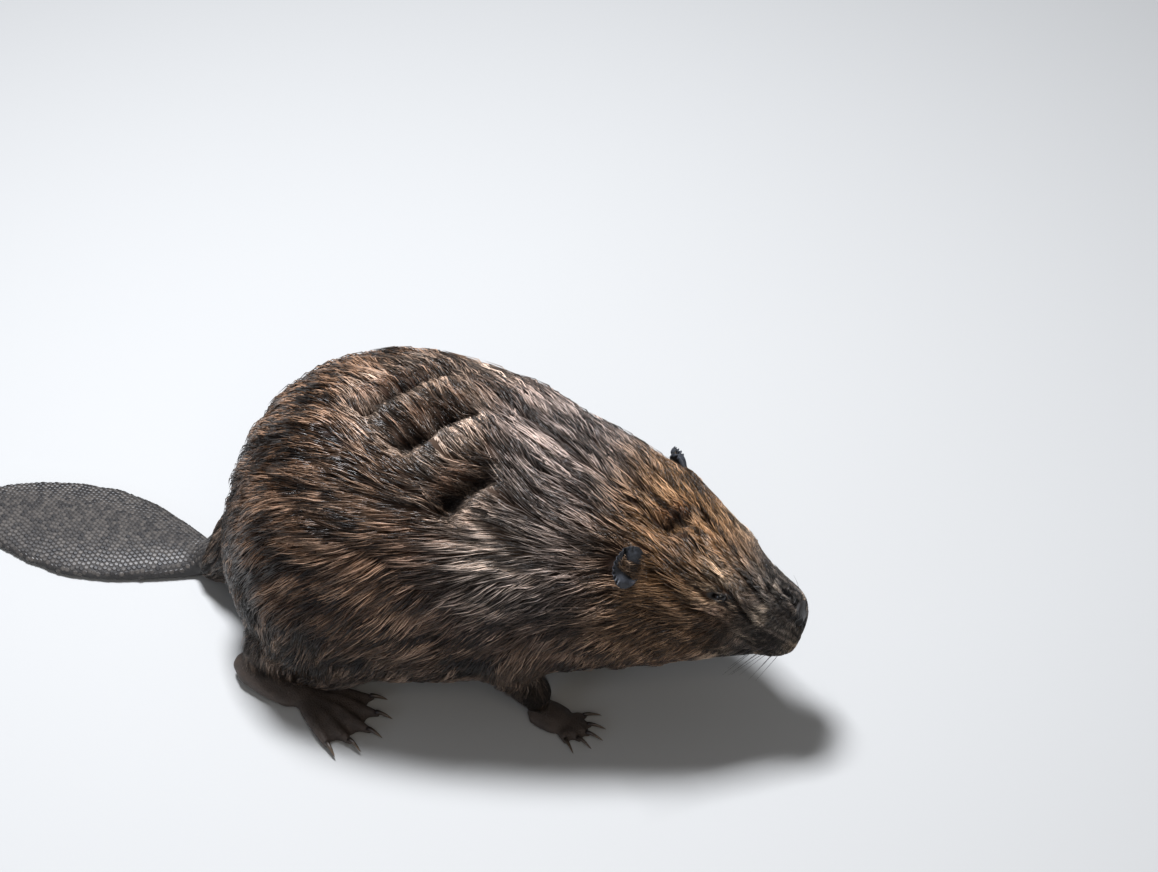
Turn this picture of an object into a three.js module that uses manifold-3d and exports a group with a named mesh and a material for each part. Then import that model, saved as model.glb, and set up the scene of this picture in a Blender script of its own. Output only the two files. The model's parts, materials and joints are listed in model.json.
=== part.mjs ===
// A beaver at rest: crouched on all four feet with its back arched, its head low and stretched
// forward, and its tail laid flat behind it.
//
// Millimetres, +Z up. The snout points to -Y, the tail to +Y, and the animal's right side is -X.
// The origin is on the floor under the middle of the animal. Every solid reaches out to the tips
// of the coat. Body, neck and head are modelled whole, as one long rounded form, and then parted
// with thin cuts into the parts that a person would name.

import * as THREE from 'three';
import { mergeVertices } from 'three/addons/utils/BufferGeometryUtils.js';
import { LoftGeometry } from 'three/addons/geometries/LoftGeometry.js';
import Module from 'manifold-3d';

const wasm = await Module();
wasm.setup();

// ---------------------------------------------------------------------------
// Driving dimensions
// ---------------------------------------------------------------------------

const GAP = 0.3;                 // thin cut between neighbouring parts

const TOTAL_LENGTH = 820;        // nose to tail tip, as it crouches
const NOSE_Y = -TOTAL_LENGTH / 2;
const TAIL_TIP_Y = TOTAL_LENGTH / 2;

// Distances behind the nose tip.
const JAW_LENGTH = 92;
const EYE_BEHIND = 64;
const HEAD_END = 168;
const NECK_END = 222;
const SHOULDER_BEHIND = 236;
const HIP_BEHIND = 408;
const RUMP_END = 520;
const AHEAD_OF_NOSE = -30;       // clear of the nose tip

const MOUTH_HEIGHT = 101;
const JAW_PITCH = 0.18;          // the line of the mouth rises towards its corner, in radians

const EYE_RADIUS = 6.3;
const EYE_SIDE = 37;             // from the midline to the middle of the eyeball
const EYE_HEIGHT = 164;

// The ear is a thin cup; its hollow is a smaller lump moved outwards, forwards and upwards.
const EAR = {
  side: 66, behind: 135, height: 198, halfSizes: [17, 7.5, 20],
  lean: -0.35, turn: 0.5, tilt: 0.55,
  hollow: { side: 4, ahead: 8, above: 5, halfSizes: [13, 7.5, 15] },
};

const NOSE_PAD = { half: 17, low: 117, high: 150, depth: 10 };

// Rounded masses of the face: centre (side, behind, height), three half-sizes and pitch.
const FACE = {
  lip: { centre: [16, 19, 111], halfSizes: [18, 19, 16], pitch: 0 },
  brow: { centre: [27, 67, 166], halfSizes: [13, 22, 9], pitch: 0.66 },
};

const FLOOR_DROP = 60;           // how far the trimming block reaches below the floor
const BEYOND = 600;              // cutting blocks reach this far, past the animal on every side

// Body stations, from the nose backwards: half-width, top, widest level and underside.
const BODY = [
  { behind: 0, half: 12, top: 128, widest: 118, bottom: 108 },
  { behind: 3, half: 22, top: 138, widest: 118, bottom: 99 },
  { behind: 12, half: 30, top: 147, widest: 117, bottom: 93 },
  { behind: 34, half: 37, top: 164, widest: 117, bottom: 90 },
  { behind: 64, half: 52, top: 190, widest: 120, bottom: 87 },
  { behind: 98, half: 74, top: 218, widest: 123, bottom: 82 },
  { behind: 134, half: 88, top: 237, widest: 125, bottom: 75 },
  { behind: 172, half: 101, top: 251, widest: 125, bottom: 64 },
  { behind: 220, half: 117, top: 267, widest: 122, bottom: 48 },
  { behind: 280, half: 134, top: 279, widest: 118, bottom: 28 },
  { behind: 340, half: 147, top: 282, widest: 112, bottom: 15 },
  { behind: 395, half: 151, top: 276, widest: 107, bottom: 11 },
  { behind: 438, half: 141, top: 260, widest: 102, bottom: 11 },
  { behind: 473, half: 121, top: 236, widest: 98, bottom: 17 },
  { behind: 499, half: 92, top: 205, widest: 95, bottom: 31 },
  { behind: 514, half: 62, top: 168, widest: 93, bottom: 50 },
  { behind: RUMP_END, half: 24, top: 118, widest: 92, bottom: 72 },
];
const BODY_RINGS = 27;
const BODY_SIDES = 20;

const FORE_FOOT = {
  side: 74, heel: 220, splay: 0.16, palmLength: 36, palmHalf: 17, palmHeight: 15,
  toes: [
    { turn: -0.62, length: 15, half: 4.6 },
    { turn: -0.26, length: 22, half: 5.2 },
    { turn: 0.0, length: 25, half: 5.4 },
    { turn: 0.26, length: 22, half: 5.2 },
    { turn: 0.60, length: 15, half: 4.6 },
  ],
  clawLength: 15, clawHalf: 2.6, webReach: 0.15,
};
const HIND_FOOT = {
  side: 112, heel: 486, splay: 0.22, palmLength: 82, palmHalf: 22, palmHeight: 21,
  toes: [
    { turn: -0.46, length: 52, half: 7.0 },
    { turn: -0.22, length: 64, half: 7.6 },
    { turn: 0.02, length: 68, half: 8.0 },
    { turn: 0.26, length: 64, half: 7.6 },
    { turn: 0.50, length: 54, half: 7.0 },
  ],
  clawLength: 14, clawHalf: 3.2, webReach: 0.86,
};
const WEB_THICKNESS = 4;

const TAIL = {
  rootBehind: 468, rootHeight: 84, rootHalf: 62, rootThick: 52,
  bladeStart: 560, bladeHalf: 64, bladeThick: 16, edgeThick: 6,
};

// ---------------------------------------------------------------------------
// Colours
// ---------------------------------------------------------------------------

const COAT = new THREE.MeshStandardMaterial({ color: 0x6b5140, roughness: 0.75, metalness: 0 });
const COAT_WARM = new THREE.MeshStandardMaterial({ color: 0x7d5c41, roughness: 0.75, metalness: 0 });
const COAT_DARK = new THREE.MeshStandardMaterial({ color: 0x4a3b30, roughness: 0.75, metalness: 0 });
const NAKED_SKIN = new THREE.MeshStandardMaterial({ color: 0x34302f, roughness: 0.55, metalness: 0 });
const EYE_BLACK = new THREE.MeshStandardMaterial({ color: 0x14100e, roughness: 0.12, metalness: 0 });
const TAIL_SCALES = new THREE.MeshStandardMaterial({ color: 0x3f3a38, roughness: 0.6, metalness: 0 });
const HORN = new THREE.MeshStandardMaterial({ color: 0x2a2321, roughness: 0.4, metalness: 0 });

// ---------------------------------------------------------------------------
// Solids: closed geometries in, closed geometries out
// ---------------------------------------------------------------------------

function toSolid(geometry) {
  const bare = new THREE.BufferGeometry();
  bare.setAttribute('position', geometry.attributes.position);
  bare.setIndex(geometry.index);
  const merged = mergeVertices(bare, 1e-3);
  const points = merged.attributes.position.array;
  const index = merged.index.array;
  const triangles = [];
  for (let i = 0; i < index.length; i += 3) {
    const [a, b, c] = [index[i], index[i + 1], index[i + 2]];
    if (a !== b && b !== c && c !== a) triangles.push(a, b, c);
  }
  const build = (triVerts) => new wasm.Manifold(new wasm.Mesh({
    numProp: 3,
    vertProperties: Float32Array.from(points),
    triVerts: Uint32Array.from(triVerts),
  }));
  const solid = build(triangles);
  return solid.volume() > 0 ? solid : build(triangles.reverse());
}

function toGeometry(solid) {
  const mesh = solid.getMesh();
  const geometry = new THREE.BufferGeometry();
  geometry.setAttribute('position', new THREE.BufferAttribute(mesh.vertProperties, 3));
  geometry.setIndex(new THREE.BufferAttribute(mesh.triVerts, 1));
  geometry.computeVertexNormals();
  return geometry;
}

function block(minimum, maximum) {
  const size = maximum.map((high, axis) => high - minimum[axis]);
  const geometry = new THREE.BoxGeometry(...size);
  geometry.translate(...minimum.map((low, axis) => low + size[axis] / 2));
  return toSolid(geometry);
}

function slab(fromBehind, toBehind) {
  return block([-BEYOND, at(fromBehind), -BEYOND], [BEYOND, at(toBehind), BEYOND]);
}

function at(behind) {
  return NOSE_Y + behind;
}

const FLOOR_BLOCK = block([-BEYOND, -BEYOND, -FLOOR_DROP], [BEYOND, BEYOND, 0]);
const SIDES = { left: 1, right: -1 };

function joined(solids) {
  return solids.reduce((all, one) => all.add(one));
}

function without(solid, others) {
  return others.reduce((rest, one) => rest.subtract(one), solid);
}

// An egg-shaped lump with its three half-sizes, turned and moved into place.
function lump(centre, halfSizes, turn = [0, 0, 0], grow = 0, sides = 16) {
  const geometry = new THREE.SphereGeometry(1, sides, Math.round(sides * 0.6));
  geometry.scale(halfSizes[0] + grow, halfSizes[1] + grow, halfSizes[2] + grow);
  geometry.applyMatrix4(new THREE.Matrix4().makeRotationFromEuler(new THREE.Euler(...turn)));
  geometry.translate(...centre);
  return toSolid(geometry);
}

// A rounded limb along a curve. Each end closes with a blunt dome.
function limb(path, halfWidths, halfHeights, { rings = 8, sides = 10, grow = 0, blunt = 6 } = {}) {
  const curve = new THREE.CatmullRomCurve3(path.map((p) => new THREE.Vector3(...p)), false, 'catmullrom');
  const sizes = new THREE.SplineCurve(halfWidths.map((w, i) => new THREE.Vector2(w, halfHeights[i])));
  const sections = [];
  for (let ring = 0; ring <= rings; ring++) {
    const t = 0.5 - 0.5 * Math.cos(Math.PI * THREE.MathUtils.lerp(0.09, 0.91, ring / rings));
    const dome = Math.pow(1 - Math.pow(Math.abs(2 * t - 1), blunt), 0.5);
    const centre = curve.getPoint(t);
    const forward = curve.getTangent(t);
    const aside = new THREE.Vector3(1, 0, 0).addScaledVector(forward, -forward.x).normalize();
    const above = new THREE.Vector3().crossVectors(aside, forward).normalize();
    const size = sizes.getPoint(t);
    const stretch = ring === 0 ? -grow : ring === rings ? grow : 0;
    const section = [];
    for (let side = 0; side < sides; side++) {
      const angle = (side + 0.5) / sides * Math.PI * 2;
      section.push(centre.clone()
        .addScaledVector(forward, stretch)
        .addScaledVector(aside, -Math.cos(angle) * (size.x * dome + grow))
        .addScaledVector(above, Math.sin(angle) * (size.y * dome + grow)));
    }
    sections.push(section);
  }
  return toSolid(new LoftGeometry(sections, { capStart: true, capEnd: true }));
}

// ---------------------------------------------------------------------------
// Head, neck and trunk in one form
// ---------------------------------------------------------------------------

function bodyWhole() {
  const widths = new THREE.CatmullRomCurve3(
    BODY.map((s) => new THREE.Vector3(s.behind, s.half, s.top)), false, 'catmullrom');
  const levels = new THREE.CatmullRomCurve3(
    BODY.map((s) => new THREE.Vector3(s.behind, s.widest, s.bottom)), false, 'catmullrom');
  const sections = [];
  for (let ring = 0; ring <= BODY_RINGS; ring++) {
    const t = ring / BODY_RINGS;
    const outer = widths.getPoint(t);
    const inner = levels.getPoint(t);
    const section = [];
    for (let side = 0; side < BODY_SIDES; side++) {
      const angle = side / BODY_SIDES * Math.PI * 2;
      const sine = Math.sin(angle);
      const reach = sine > 0 ? outer.z - inner.y : inner.y - inner.z;
      const fullness = sine > 0 ? 1.0 : 0.82;
      section.push(new THREE.Vector3(
        -Math.sign(Math.cos(angle)) * Math.pow(Math.abs(Math.cos(angle)), fullness) * outer.y,
        NOSE_Y + outer.x,
        inner.y + Math.sign(sine) * Math.pow(Math.abs(sine), fullness) * reach));
    }
    sections.push(section);
  }
  return toSolid(new LoftGeometry(sections, { capStart: true, capEnd: true }));
}

// The lips and brows swell out of the head on both sides.
function faceMasses() {
  return Object.values(SIDES).flatMap((sign) => Object.values(FACE).map(
    ({ centre, halfSizes, pitch }) => lump(
      [sign * centre[0], at(centre[1]), centre[2]], halfSizes, [pitch, 0, 0], 0, 10)));
}

function nosePadRegion(grow = 0) {
  return block([-NOSE_PAD.half - grow, at(AHEAD_OF_NOSE), NOSE_PAD.low - grow],
    [NOSE_PAD.half + grow, at(NOSE_PAD.depth) + grow, NOSE_PAD.high]);
}

// All that lies below the line of the mouth, back to the angle of the jaw.
function jawRegion(grow = 0) {
  const front = 20;
  const geometry = new THREE.BoxGeometry(240, front + JAW_LENGTH + grow, 120 + grow);
  geometry.translate(0, (JAW_LENGTH + grow - front) / 2, (grow - 120) / 2);
  geometry.rotateX(JAW_PITCH);
  geometry.translate(0, NOSE_Y, MOUTH_HEIGHT);
  return toSolid(geometry);
}

// ---------------------------------------------------------------------------
// Eyes and ears
// ---------------------------------------------------------------------------

function eyeball(sign, grow = 0) {
  return lump([sign * EYE_SIDE, at(EYE_BEHIND), EYE_HEIGHT],
    [EYE_RADIUS, EYE_RADIUS, EYE_RADIUS], [0, 0, 0], grow, 8);
}

// A small round cup, open to the front and side, standing on the side of the crown.
function ear(sign, headSolid) {
  const turned = [EAR.lean, sign * EAR.turn, sign * EAR.tilt];
  const { side, ahead, above, halfSizes } = EAR.hollow;
  const shell = lump([sign * EAR.side, at(EAR.behind), EAR.height], EAR.halfSizes, turned, 0, 12);
  const hollow = lump(
    [sign * (EAR.side + side), at(EAR.behind - ahead), EAR.height + above], halfSizes, turned, 0, 10);
  return without(shell, [hollow, headSolid]);
}

// ---------------------------------------------------------------------------
// Legs
// ---------------------------------------------------------------------------

function upperArm(sign, grow = 0) {
  return limb(
    [[sign * 80, at(SHOULDER_BEHIND + 30), 158], [sign * 88, at(SHOULDER_BEHIND + 2), 106],
      [sign * 84, at(SHOULDER_BEHIND + 8), 58]],
    [34, 39, 26], [44, 46, 30], { rings: 7, sides: 10, grow });
}

function forearm(sign, grow = 0) {
  return limb(
    [[sign * 84, at(SHOULDER_BEHIND + 6), 72], [sign * 78, at(SHOULDER_BEHIND - 12), 44],
      [sign * 72, at(SHOULDER_BEHIND - 28), 16]],
    [27, 21, 17], [25, 19, 16], { rings: 5, sides: 8, grow });
}

function thigh(sign, grow = 0) {
  return limb(
    [[sign * 107, at(HIP_BEHIND - 84), 88], [sign * 109, at(HIP_BEHIND - 10), 94],
      [sign * 95, at(HIP_BEHIND + 68), 80]],
    [36, 46, 38], [56, 80, 58], { rings: 7, sides: 12, grow, blunt: 3 });
}

function lowerLeg(sign, grow = 0) {
  return limb(
    [[sign * 112, at(HIP_BEHIND - 10), 30], [sign * 108, at(HIP_BEHIND + 36), 33],
      [sign * 104, at(HIP_BEHIND + 72), 30]],
    [22, 27, 24], [22, 27, 26], { rings: 5, sides: 8, grow });
}

function toePath(foot, toe, sign) {
  const knuckle = foot.palmLength;
  const heading = sign * toe.turn;
  const start = [Math.sin(heading) * foot.palmHalf * 0.9, -knuckle + 4];
  const tip = [start[0] + Math.sin(heading) * toe.length, start[1] - Math.cos(heading) * toe.length];
  return { start, tip, heading };
}

function placeFoot(solid, foot, sign) {
  return solid.rotate([0, 0, THREE.MathUtils.radToDeg(sign * foot.splay)])
    .translate([sign * foot.side, at(foot.heel), 0]);
}

// Palm, five toes and the web between them, trimmed flat on the floor.
function footWhole(foot, sign) {
  const palm = limb(
    [[0, 2, foot.palmHeight * 0.62], [0, -foot.palmLength * 0.5, foot.palmHeight * 0.5],
      [0, -foot.palmLength - 2, foot.palmHeight * 0.36]],
    [foot.palmHalf * 0.8, foot.palmHalf, foot.palmHalf * 0.94],
    [foot.palmHeight * 0.66, foot.palmHeight * 0.56, foot.palmHeight * 0.44],
    { rings: 4, sides: 8 });
  const toes = foot.toes.map((toe) => {
    const { start, tip } = toePath(foot, toe, sign);
    const middle = [(start[0] + tip[0]) / 2, (start[1] + tip[1]) / 2];
    return limb(
      [[start[0], start[1], toe.half * 1.1], [middle[0], middle[1], toe.half * 1.15],
        [tip[0], tip[1], toe.half * 0.8]],
      [toe.half, toe.half * 0.92, toe.half * 0.86], [toe.half, toe.half * 0.95, toe.half * 0.8],
      { rings: 2, sides: 5, blunt: 10 });
  });
  const rim = foot.toes.map((toe) => {
    const { start, heading } = toePath(foot, toe, sign);
    const reach = toe.length * foot.webReach;
    return new THREE.Vector2(start[0] + Math.sin(heading) * reach, start[1] - Math.cos(heading) * reach);
  });
  const outline = new THREE.Shape([new THREE.Vector2(0, -foot.palmLength * 0.6), ...rim]);
  const web = new THREE.ExtrudeGeometry(outline, { depth: WEB_THICKNESS, bevelEnabled: false });
  return placeFoot(without(joined([palm, ...toes, toSolid(web)]), [FLOOR_BLOCK]), foot, sign);
}

function claw(foot, toe, sign, grow = 0) {
  const { tip, heading } = toePath(foot, toe, sign);
  const ahead = (distance) => [tip[0] + Math.sin(heading) * distance, tip[1] - Math.cos(heading) * distance];
  const base = ahead(-3);
  const bend = ahead(foot.clawLength * 0.45);
  const point = ahead(foot.clawLength);
  const half = foot.clawHalf;
  return placeFoot(limb(
    [[base[0], base[1], half * 2.2], [bend[0], bend[1], half * 2.1], [point[0], point[1], half * 0.9 + 0.6]],
    [half, half * 0.85, half * 0.3], [half * 1.1, half * 0.95, half * 0.35],
    { rings: 2, sides: 5, grow }), foot, sign);
}

// ---------------------------------------------------------------------------
// Tail
// ---------------------------------------------------------------------------

function tailBase(grow = 0) {
  return limb(
    [[0, at(TAIL.rootBehind), TAIL.rootHeight], [0, at(TAIL.rootBehind + 48), 56],
      [0, at(TAIL.bladeStart - 16), 28], [0, at(TAIL.bladeStart + 18), 14]],
    [TAIL.rootHalf, 52, 40, 31], [TAIL.rootThick, 40, 24, 12],
    { rings: 6, sides: 12, grow, blunt: 8 });
}

// The blade is a paddle, thickest along the middle, with a flat underside.
function tailBlade() {
  const length = TAIL_TIP_Y - at(TAIL.bladeStart);
  const rings = 10;
  const sides = 12;
  const sections = [];
  for (let ring = 0; ring <= rings; ring++) {
    const t = 0.5 - 0.5 * Math.cos(Math.PI * ring / rings);
    const outline = Math.pow(Math.sin(Math.PI * THREE.MathUtils.lerp(0.02, 0.985, t)), 0.5);
    const waist = THREE.MathUtils.lerp(0.72, 1, THREE.MathUtils.smoothstep(t, 0, 0.5));
    const half = TAIL.bladeHalf * outline * waist;
    const thick = THREE.MathUtils.lerp(TAIL.bladeThick, TAIL.edgeThick, t * t);
    const section = [];
    for (let side = 0; side < sides; side++) {
      const angle = side / sides * Math.PI * 2;
      const height = Math.sin(angle) > 0 ? thick : thick * 0.3;
      section.push(new THREE.Vector3(
        -Math.cos(angle) * half, at(TAIL.bladeStart) + length * t, 2.5 + Math.sin(angle) * height));
    }
    sections.push(section);
  }
  return toSolid(new LoftGeometry(sections, { capStart: true, capEnd: true })).subtract(FLOOR_BLOCK);
}

// ---------------------------------------------------------------------------
// Parting
// ---------------------------------------------------------------------------

const beaver = new THREE.Group();

function place(name, solid, material) {
  const mesh = new THREE.Mesh(toGeometry(solid), material);
  mesh.name = name;
  beaver.add(mesh);
}

const whole = joined([bodyWhole(), ...faceMasses()]);
const headAndJaw = whole.intersect(slab(AHEAD_OF_NOSE, HEAD_END));
const upperHead = headAndJaw.subtract(jawRegion(GAP));
const eyeSockets = Object.values(SIDES).map((sign) => eyeball(sign, GAP));

place('head', without(upperHead, [nosePadRegion(GAP), ...eyeSockets]), COAT_WARM);
place('lower_jaw', headAndJaw.intersect(jawRegion()), COAT_WARM);
place('nose', upperHead.intersect(nosePadRegion()), NAKED_SKIN);

const tailRoot = tailBase();
const blade = tailBlade();

for (const [side, sign] of Object.entries(SIDES)) {
  place(`eye_${side}`, eyeball(sign), EYE_BLACK);
  place(`ear_${side}`, ear(sign, whole.intersect(slab(AHEAD_OF_NOSE, NECK_END))), NAKED_SKIN);
}

const allGrown = (make) => Object.values(SIDES).map((sign) => make(sign, GAP));
const trunkWhole = whole.intersect(slab(NECK_END, BEYOND));
const trunk = without(trunkWhole, [
  ...allGrown(upperArm), ...allGrown(forearm), ...allGrown(thigh), ...allGrown(lowerLeg), tailBase(GAP)]);
place('trunk', trunk, COAT);

const neckWhole = whole.intersect(slab(HEAD_END + GAP, NECK_END - GAP));
place('neck', without(neckWhole, [...allGrown(upperArm), ...allGrown(forearm)]), COAT_WARM);

place('tail_base', without(tailRoot, [FLOOR_BLOCK]), COAT_DARK);
place('tail_blade', without(blade, [tailBase(GAP)]), TAIL_SCALES);

for (const [side, sign] of Object.entries(SIDES)) {
  place(`upper_arm_${side}`, without(upperArm(sign), [forearm(sign, GAP)]), COAT);
  const foreClaws = FORE_FOOT.toes.map((toe) => claw(FORE_FOOT, toe, sign, GAP));
  const foreFoot = footWhole(FORE_FOOT, sign);
  place(`forearm_${side}`, without(forearm(sign), [foreFoot, FLOOR_BLOCK]), COAT_DARK);
  place(`forefoot_${side}`, without(foreFoot, foreClaws), NAKED_SKIN);

  place(`thigh_${side}`, without(thigh(sign), [lowerLeg(sign, GAP)]), COAT);
  const hindClaws = HIND_FOOT.toes.map((toe) => claw(HIND_FOOT, toe, sign, GAP));
  const hindFoot = footWhole(HIND_FOOT, sign);
  place(`lower_leg_${side}`, without(lowerLeg(sign), [hindFoot, FLOOR_BLOCK]), COAT_DARK);
  place(`hind_foot_${side}`, without(hindFoot, hindClaws), NAKED_SKIN);

  FORE_FOOT.toes.forEach((toe, i) => place(
    `fore_claw_${side}_${i + 1}`, claw(FORE_FOOT, toe, sign).subtract(FLOOR_BLOCK), HORN));
  HIND_FOOT.toes.forEach((toe, i) => place(
    `hind_claw_${side}_${i + 1}`, claw(HIND_FOOT, toe, sign).subtract(FLOOR_BLOCK), HORN));
}

export default beaver;
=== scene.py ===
# %% [markdown]
# # A beaver, life size, as a museum shows it
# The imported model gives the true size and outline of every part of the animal. This file puts a hide
# over the flesh, a coat of tufts over the hide, and then finishes eyes, ears, nose, feet and tail.
# Everything is in metres: the snout points to -Y, the tail to +Y, and the soles stand on z = 0.

# %% Load the frame
import json
import math
import random
from contextlib import contextmanager
from functools import partial

import bmesh
import bpy
import numpy as np
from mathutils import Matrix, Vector, noise
from mathutils.bvhtree import BVHTree

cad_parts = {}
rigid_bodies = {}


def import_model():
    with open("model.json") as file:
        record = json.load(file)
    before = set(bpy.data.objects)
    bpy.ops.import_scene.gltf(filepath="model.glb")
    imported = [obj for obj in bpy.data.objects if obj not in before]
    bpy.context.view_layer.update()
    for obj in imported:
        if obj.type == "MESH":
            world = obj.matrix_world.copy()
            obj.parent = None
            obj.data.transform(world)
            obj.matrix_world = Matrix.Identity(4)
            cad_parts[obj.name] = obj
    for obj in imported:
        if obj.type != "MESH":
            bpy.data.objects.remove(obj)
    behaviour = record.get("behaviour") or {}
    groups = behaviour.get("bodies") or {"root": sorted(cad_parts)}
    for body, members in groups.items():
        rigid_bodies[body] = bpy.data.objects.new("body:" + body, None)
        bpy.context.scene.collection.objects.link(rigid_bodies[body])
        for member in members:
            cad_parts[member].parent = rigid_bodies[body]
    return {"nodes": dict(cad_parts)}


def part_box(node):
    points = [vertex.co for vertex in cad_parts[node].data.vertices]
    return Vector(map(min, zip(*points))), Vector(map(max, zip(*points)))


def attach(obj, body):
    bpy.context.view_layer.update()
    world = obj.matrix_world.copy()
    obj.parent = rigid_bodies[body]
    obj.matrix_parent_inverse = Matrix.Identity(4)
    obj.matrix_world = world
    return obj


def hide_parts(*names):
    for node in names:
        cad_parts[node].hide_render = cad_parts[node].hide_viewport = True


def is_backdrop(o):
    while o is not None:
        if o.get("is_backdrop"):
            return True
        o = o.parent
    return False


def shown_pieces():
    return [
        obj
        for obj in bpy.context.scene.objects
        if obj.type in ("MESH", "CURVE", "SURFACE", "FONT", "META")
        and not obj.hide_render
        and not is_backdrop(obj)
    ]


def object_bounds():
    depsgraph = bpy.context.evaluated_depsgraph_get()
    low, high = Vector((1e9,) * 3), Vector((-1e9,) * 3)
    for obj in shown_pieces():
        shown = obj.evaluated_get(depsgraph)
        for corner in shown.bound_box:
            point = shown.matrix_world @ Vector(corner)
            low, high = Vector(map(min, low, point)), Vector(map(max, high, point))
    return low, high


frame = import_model()
CAD_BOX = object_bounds()
MM = 0.001
NOSE_Y = CAD_BOX[0].y
random.seed(7)
print("box of the solids, metres:", [round(v, 3) for v in (*CAD_BOX[0], *CAD_BOX[1])])


def centre_of(node):
    """The middle of a solid's box, in metres."""
    low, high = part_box(node)
    return np.array((low + high) / 2)


def behind(y):
    """Distance behind the tip of the nose, in millimetres: the ruler that all marks are placed by."""
    return (y - NOSE_Y) / MM


def ramp(value, start, end):
    """0 before start, 1 after end, and a smooth rise between them. It takes numbers or arrays."""
    t = np.clip((np.asarray(value, float) - start) / (end - start), 0, 1)
    return t * t * (3 - 2 * t)


def hump(value, middle, half_width):
    """1 at the middle, falling off on both sides as a bell does."""
    return np.exp(-((np.asarray(value, float) - middle) / half_width) ** 2)


def unit(directions, least=0.0):
    """One direction or many, each with a length of one."""
    many = directions.ndim > 1
    size = np.linalg.norm(directions, axis=1, keepdims=True) if many else np.linalg.norm(directions)
    return directions / np.maximum(size, least)


# %% [markdown]
# ## Camera, light and floor
# The animal is seen from its right side, from a little in front and from well above, as from a bank.
# The light is what an overcast sky gives: a bright dome, with one broad soft lamp overhead and behind,
# so that each wet hair shows a thin line of sky along its back.

# %% Camera
LENS_MM = 82
VIEW_AZIMUTH = math.radians(-70)
VIEW_HEIGHT = math.radians(41)
VIEW_DISTANCE = 2.3
LOOK_AT = Vector((0.075, -0.180, 0.200))

toward_camera = Vector((
    math.sin(VIEW_AZIMUTH) * math.cos(VIEW_HEIGHT),
    -math.cos(VIEW_AZIMUTH) * math.cos(VIEW_HEIGHT),
    math.sin(VIEW_HEIGHT),
))
camera = bpy.data.objects.new("camera", bpy.data.cameras.new("camera"))
camera.data.lens = LENS_MM
camera.data.sensor_width = 36
camera.location = LOOK_AT + toward_camera * VIEW_DISTANCE
camera.rotation_euler = (-toward_camera).to_track_quat("-Z", "Y").to_euler()
bpy.context.scene.collection.objects.link(camera)
bpy.context.scene.camera = camera
print("camera stands at", [round(v, 2) for v in camera.location])


# %% Short ways to add nodes, name colours and make materials
def add(tree, kind, inputs=None, **settings):
    """Adds a node, sets its settings, and fills each input with a value or a link from a socket."""
    made = tree.nodes.new(kind)
    for name, value in settings.items():
        setattr(made, name, value)
    for key, value in (inputs or {}).items():
        if isinstance(value, bpy.types.NodeSocket):
            tree.links.new(value, made.inputs[key])
        else:
            made.inputs[key].default_value = value
    return made


def result_of(tree, kind, inputs=None, **settings):
    """Adds a node and returns its first output."""
    return add(tree, kind, inputs, **settings).outputs[0]


def span(tree, value, start, end, low=0.0, high=1.0, **settings):
    """Leads a value from the span start to end over to the span low to high."""
    return result_of(tree, "ShaderNodeMapRange", {
        "Value": value, "From Min": start, "From Max": end, "To Min": low, "To Max": high}, **settings)


def tools_for(tree):
    """Short ways to add nodes: any node, sums of numbers and of vectors, and vectors from parts."""
    node = partial(result_of, tree)

    def calc(operation, a, b=0.0):
        return node("ShaderNodeMath", {0: a, 1: b}, operation=operation)

    def vector(operation, a, b=(0, 0, 0), scale=1.0):
        return node("ShaderNodeVectorMath", {0: a, 1: b, 3: scale}, operation=operation)

    def parts_of(value):
        return add(tree, "ShaderNodeSeparateXYZ", {0: value}).outputs

    def combined(x, y=0.0, z=0.0):
        return node("ShaderNodeCombineXYZ", {0: x, 1: y, 2: z})

    times, plus, minus = (partial(calc, name) for name in ("MULTIPLY", "ADD", "SUBTRACT"))
    return node, calc, times, plus, minus, vector, parts_of, combined


def chance(tree, low, high, seed):
    """A random number for each point."""
    return add(tree, "FunctionNodeRandomValue", {2: low, 3: high, 8: seed}, data_type="FLOAT").outputs[1]


def keep(tree, geometry, values, kind="FLOAT", domain="POINT"):
    """Stores values on the geometry under their names."""
    for name, value in values.items():
        geometry = result_of(tree, "GeometryNodeStoreNamedAttribute", {
            "Geometry": geometry, "Name": name, "Value": value}, data_type=kind, domain=domain)
    return geometry


def new_tree(name, sockets, result):
    """An empty tree of geometry nodes with named inputs, those inputs, and the identifier of each."""
    tree = bpy.data.node_groups.new(name, "GeometryNodeTree")
    ids = {}
    for label, kind in sockets.items():
        made = tree.interface.new_socket(label, in_out="INPUT", socket_type="NodeSocket" + kind)
        ids[label] = made.identifier
    tree.interface.new_socket(result, in_out="OUTPUT", socket_type="NodeSocketGeometry")
    return tree, add(tree, "NodeGroupInput").outputs, ids


def end_tree(tree, geometry, material):
    """Sets the material and leads the geometry out of the tree."""
    done = result_of(tree, "GeometryNodeSetMaterial", {"Geometry": geometry, "Material": material})
    tree.links.new(done, add(tree, "NodeGroupOutput").inputs[0])


def linear(hex_colour):
    """An sRGB hex colour as the linear values that shaders use."""
    parts = [int(hex_colour[i:i + 2], 16) / 255 for i in (1, 3, 5)]
    return tuple(c / 12.92 if c <= 0.04045 else ((c + 0.055) / 1.055) ** 2.4 for c in parts)


def new_material(name, **shader):
    """A material with one Principled shader, whose constant values are set on its own sockets."""
    made = bpy.data.materials.new(name)
    made.use_nodes = True
    tree = made.node_tree
    principled = tree.nodes["Principled BSDF"]
    for key, value in shader.items():
        principled.inputs[key.replace("_", " ")].default_value = value
    return made, tree, principled


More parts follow.
